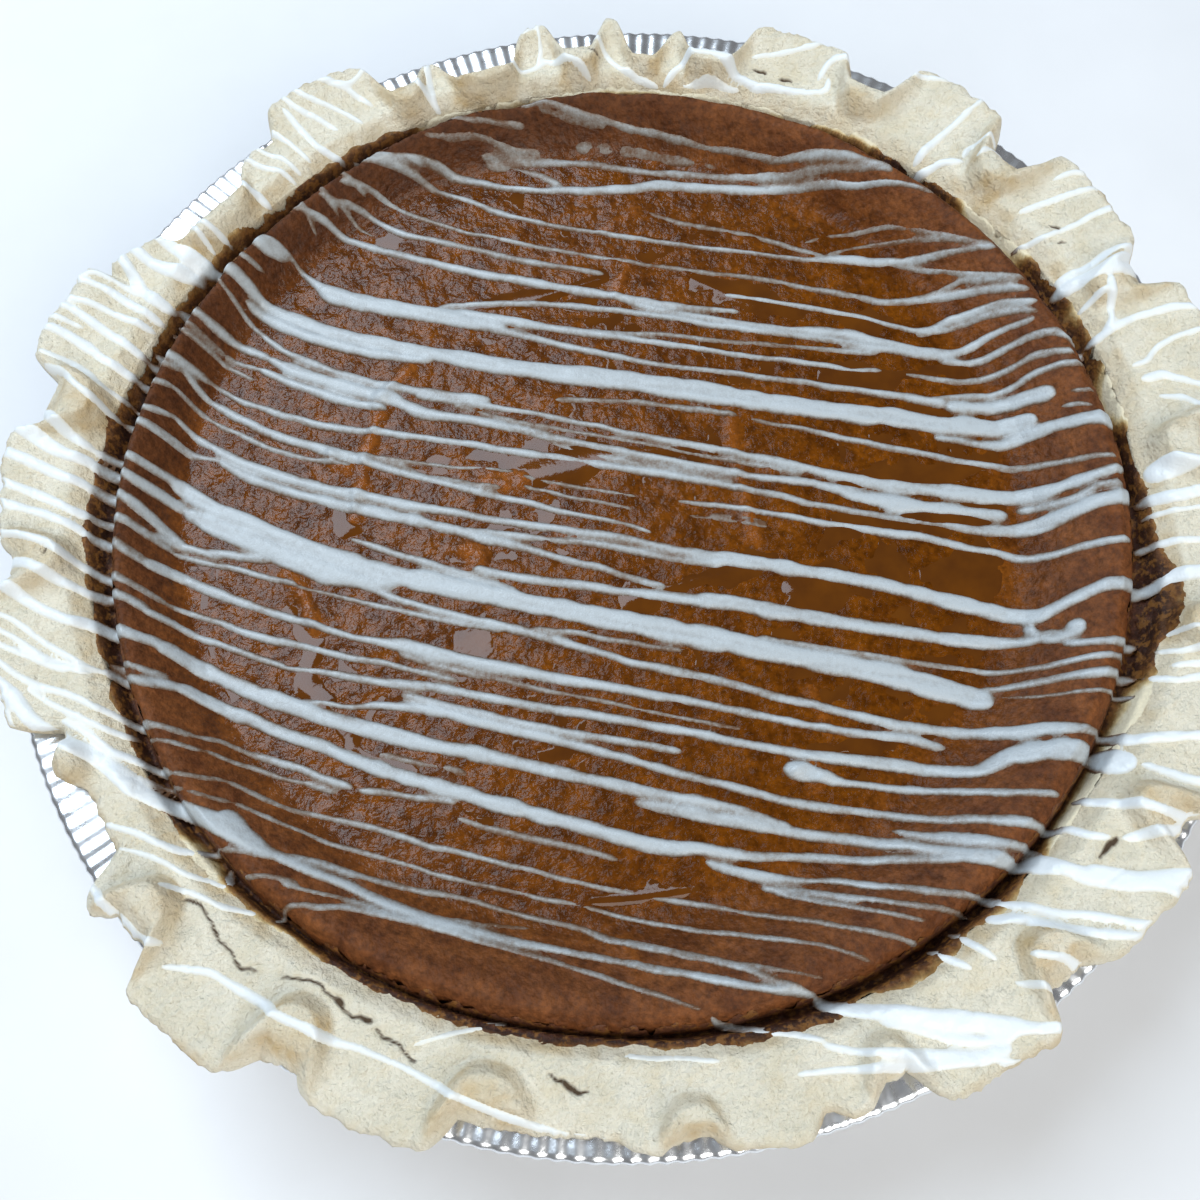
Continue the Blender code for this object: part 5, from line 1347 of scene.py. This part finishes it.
def icing_material():
    """Sugar icing: translucent grey-white on the filling, opaque white on the crust."""
    g = Graph("sugar_icing")
    film = g.attribute("film")
    crusted = g.attribute("crusted")
    thin = g.span(film, 0.0, 0.7)
    mottle = g.sums("MULTIPLY_ADD", g.noise(1.1, 4.0, 0.7), 0.9, g.sums("SUBTRACT", thin, 0.5))
    mottle = g.sums("MULTIPLY_ADD", g.attribute("streak"), 0.16, mottle)
    wet = g.ramp(mottle, ((0.0, (0.12, 0.060, 0.030)), (0.28, (0.21, 0.18, 0.155)), (0.62, (0.34, 0.355, 0.36)),
                          (1.0, (0.43, 0.465, 0.485))))
    dry = g.ramp(thin, ((0.0, (0.72, 0.70, 0.62)), (0.6, (0.76, 0.79, 0.80))))
    colour = g.blend(crusted, wet, dry)
    rough = g.span(g.noise(2.0), 0.35, 0.65, 0.30, 0.46)
    fine = g.bump(g.noise(0.5, 2.0), 0.09)
    return g.finish(colour, rough, g.bump(g.noise(1.6), 0.06, under=fine), Specular_IOR_Level=0.35)


def residue_material():
    """Dark baked crumbs, red-brown by the filling and amber on the crust; their darkest band is partly painted shade
    in the gap.
    """
    g = Graph("crumbs_and_gap_shade")
    place = g.sums("MULTIPLY_ADD", g.noise(2.6, 4.0), 0.8, g.sums("SUBTRACT", g.attribute("rise"), 0.4))
    # The darkest stop is partly dark baked crumbs and partly painted shade in the narrow gap between filling and
    # crust.
    colour = g.ramp(g.span(place, -1.0, 1.6), (
        (0.0, (0.12, 0.044, 0.020)), (0.26, (0.070, 0.024, 0.012)), (0.40, (0.030, 0.011, 0.006)),
        (0.54, (0.11, 0.042, 0.011)), (0.66, (0.30, 0.170, 0.055)), (0.76, (0.58, 0.45, 0.24)), (0.88, (0.74, 0.66, 0.48))))
    crumbs = g.span(g.noise(1.1, 4.0, 0.7), 0.35, 0.68, 0.6, 1.5)
    grit = g.span(g.attribute("rise"), 0.4, 1.1, 1.0, 0.12)
    colour = g.blend(grit, colour, crumbs, "MULTIPLY")
    toasted = g.sums("MULTIPLY", g.span(g.noise(1.7, 4.0, 0.6), 0.50, 0.60), g.span(g.attribute("rise"), 0.45, 0.8, 0.85, 0.0))
    colour = g.blend(toasted, colour, (0.21, 0.088, 0.020))
    return g.finish(colour, 0.5, g.bump(g.noise(0.9, 4.0, 0.7), 0.45), Specular_IOR_Level=0.25)


def foil_material():
    """Pressed aluminium foil."""
    g = Graph("pressed_foil")
    rough = g.span(g.noise(4.0), 0.3, 0.7, 0.22, 0.36)
    return g.finish((0.83, 0.84, 0.86), rough, g.bump(g.noise(1.5), 0.05), Metallic=1.0)


def floor_material():
    """A pale matte floor."""
    g = Graph("floor")
    colour = g.ramp(g.noise(40.0), ((0.3, (0.73, 0.73, 0.74)), (0.7, (0.76, 0.76, 0.77))))
    return g.finish(colour, 0.6)


def spill_reach(angle):
    """How far the crumbs spread onto the crust, in mm."""
    spill = np.zeros_like(angle)
    for middle, half, reach in SPILLS:
        spill = np.maximum(spill, reach * np.exp(-(turn(angle - middle) / half) ** 4))
    return spill


def residue_field():
    """Thickness of the browned crumbs in the groove; below zero beyond their ragged edge."""
    angle, radius = polar(PLATE_X, PLATE_Y)
    near = (radius > 96.0) & (radius < 112.5)
    x, y, angle, radius = PLATE_X[near], PLATE_Y[near], angle[near], radius[near]
    edge = circle_reach(angle, FILLING_CENTRE, FILLING_R)
    inner = inner_edge(angle)
    spill = spill_reach(angle)
    inward = radius - (edge - 1.0) + 0.7 * grain(x, y, 2.5, 64) + 0.5 * grain(x, y, 1.0, 65)
    outward = inner - 0.1 + spill - radius + 0.8 * grain(x, y, 5.0, 66) + 0.35 * grain(x, y, 1.3, 67)
    field = np.full_like(PLATE_X, -0.4)
    spot = np.maximum(np.abs(PLATE_X - 115.2) / 1.4, np.abs(PLATE_Y - 0.2) / 1.8)
    field = np.where(spot < 2.0, np.maximum(field, 0.2 * (1.0 - spot)), field)
    field[near] = np.clip(0.30 * np.minimum(inward, outward), -0.4, 0.35)
    return field


def groove_marks(x, y):
    """Where the crumbs lie: from the filling's side to the crust's."""
    angle, radius = polar(x, y)
    edge = circle_reach(angle, FILLING_CENTRE, FILLING_R)
    share = (radius - edge) / (inner_edge(angle) + spill_reach(angle) - edge)
    dark = charred(angle)
    return {"rise": share * (2.2 - 1.2 * dark) - 0.55 * dark}


# Syrup baked onto the crust: angle, half width in degrees, reach in mm.
SPILLS = (
    (222.0, 8.0, 1.2),
    (240.0, 7.0, 1.0),
    (255.0, 9.0, 1.5),
    (270.0, 7.0, 0.9),
    (281.0, 7.5, 1.8),
    (296.0, 5.0, 2.0),
    (306.0, 4.0, 0.8),
    (333.0, 4.0, 1.4),
    (344.0, 4.5, 2.4),
    (86.0, 6.0, 0.8),
    (56.0, 6.0, 0.8),
    (173.0, 9.0, 0.6),
)
# Darkest arcs of the groove: angle, half width in degrees, share.
CHARRED = (
    (150.0, 30.0, 0.9),
    (190.0, 24.0, 1.0),
    (122.0, 8.0, 1.0),
    (234.0, 9.0, 0.7),
    (262.0, 25.0, 1.0),
    (300.0, 12.0, 0.8),
    (350.0, 13.0, 1.0),
    (60.0, 5.0, 0.5),
    (46.0, 4.5, 1.0),
    (25.0, 2.5, 1.0),
    (16.0, 2.0, 0.9),
    (92.0, 10.0, 0.4),
)
EDGE_ANGLES, EDGE_REACH = soft_edge()
CRIMPS = 250
PLEATS = 76
TIN_STEPS = 1750
CRACKED = crack_field()
RAISED = raised_field()
WETNESS = wet_field()
ICING = icing_field()
COVER = blur((ICING > 0.0).astype(float), 6)

crust = make_crust()
crust.data.materials.append(crust_material())
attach(crust, "root")
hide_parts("crust")

filling = make_filling()
filling.data.materials.append(filling_material())
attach(filling, "root")
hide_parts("filling")


def on_crust(x, y):
    """1 where the icing lies on the crust."""
    angle, radius = polar(x, y)
    return {"crusted": ease(radius - inner_edge(angle), -1.0, 1.0), "streak": streaks(x, y)}


def pool_depth(x, y):
    """Depth of the syrup; below zero where there is none."""
    share = ring_share(x, y)
    level = 0.50 * sample(WETNESS, x, y) - 0.24 - 2.0 * ease(share, -0.12, 0.10)
    return level - peel(x, y) - 0.8 * waves(x, y) - sample(RAISED, x, y)


residue = skin("crumbs_and_gap_shade", residue_field(), groove_surface, groove_surface, lambda x, y: np.hypot(x, y) > 90.0, groove_marks)
residue.data.materials.append(residue_material())
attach(residue, "root")

icing_sugar = icing_material()
BANDS = (("near", -SPAN, -30.0), ("middle", -30.0, 30.0), ("far", 30.0, SPAN))
for label, low, high in BANDS:
    piece = skin("icing_" + label, ICING, bridge_surface, true_surface,
                 lambda x, y: (y >= low) & (y < high) & (x > -SPAN), on_crust)
    piece.data.materials.append(icing_sugar)
    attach(piece, "root")

reach_floor = np.hypot(PLATE_X, PLATE_Y) < 92.0
syrup_field = np.where(reach_floor, pool_depth(PLATE_X, PLATE_Y), -1.0)
syrup = skin("syrup", syrup_field, filling_surface, filling_surface, lambda x, y: np.hypot(x, y) < 90.0, lambda x, y: {})
syrup.data.materials.append(syrup_material())
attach(syrup, "root")

tin = make_tin()
tin.data.materials.append(foil_material())
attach(tin, "root")
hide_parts("foil_tin")

for part in (crust, filling, tin, residue, syrup):
    print("FACES", part.name, sum(len(face.vertices) - 2 for face in part.data.polygons))
for label, low, high in BANDS:
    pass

# Floor, lights and camera
floor_mesh = bpy.data.meshes.new("floor")
floor_mesh.from_pydata([(-3, -3, 0), (3, -3, 0), (3, 3, 0), (-3, 3, 0)], [], [(0, 1, 2, 3)])
floor = bpy.data.objects.new("floor", floor_mesh)
bpy.context.scene.collection.objects.link(floor)
floor.location.z = -0.0002
floor.data.materials.append(floor_material())
floor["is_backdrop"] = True


def area_light(name, place, target, size, power, colour):
    """A soft square light that faces a point."""
    lamp = bpy.data.lights.new(name, "AREA")
    lamp.shape = "SQUARE"
    lamp.size = size
    lamp.energy = power
    lamp.color = colour
    made = bpy.data.objects.new(name, lamp)
    made.location = place
    made.rotation_euler = (Vector(target) - Vector(place)).to_track_quat("-Z", "Y").to_euler()
    bpy.context.scene.collection.objects.link(made)


area_light("sky", (-0.5, 0.6, 1.1), (0, 0, 0.03), 0.9, 18.5, (0.74, 0.87, 1.0))
area_light("fill", (0.4, -0.9, 0.9), (0, 0, 0.03), 1.0, 14.5, (0.97, 0.97, 0.94))

world = bpy.data.worlds.new("studio")
world.use_nodes = True
world.node_tree.nodes["Background"].inputs["Color"].default_value = (0.90, 0.92, 0.95, 1.0)
world.node_tree.nodes["Background"].inputs["Strength"].default_value = 0.22
bpy.context.scene.world = world
bpy.context.scene.view_settings.view_transform = "Standard"

EYE = Vector((-0.0057, -0.1132, RIM_Z * MM + 0.2327))
TARGET = Vector((-0.0057, -0.0213, RIM_Z * MM))
ROLL = math.radians(-4.0)
lens = bpy.data.cameras.new("camera")
lens.sensor_width = 36.0
lens.lens = 18.0 / math.tan(math.radians(25.0))
lens.clip_start = 0.01
camera = bpy.data.objects.new("camera", lens)
camera.location = EYE
look = (TARGET - EYE).to_track_quat("-Z", "Y") @ Quaternion((0, 0, 1), ROLL)
camera.rotation_euler = look.to_euler()
bpy.context.scene.collection.objects.link(camera)
bpy.context.scene.camera = camera


def plain_list(value):
    """The same numbers as plain lists."""
    return [plain_list(part) for part in value] if hasattr(value, "__len__") else float(value)


{"cad": plain_list(CAD_BOX), "scene": plain_list(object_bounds())}
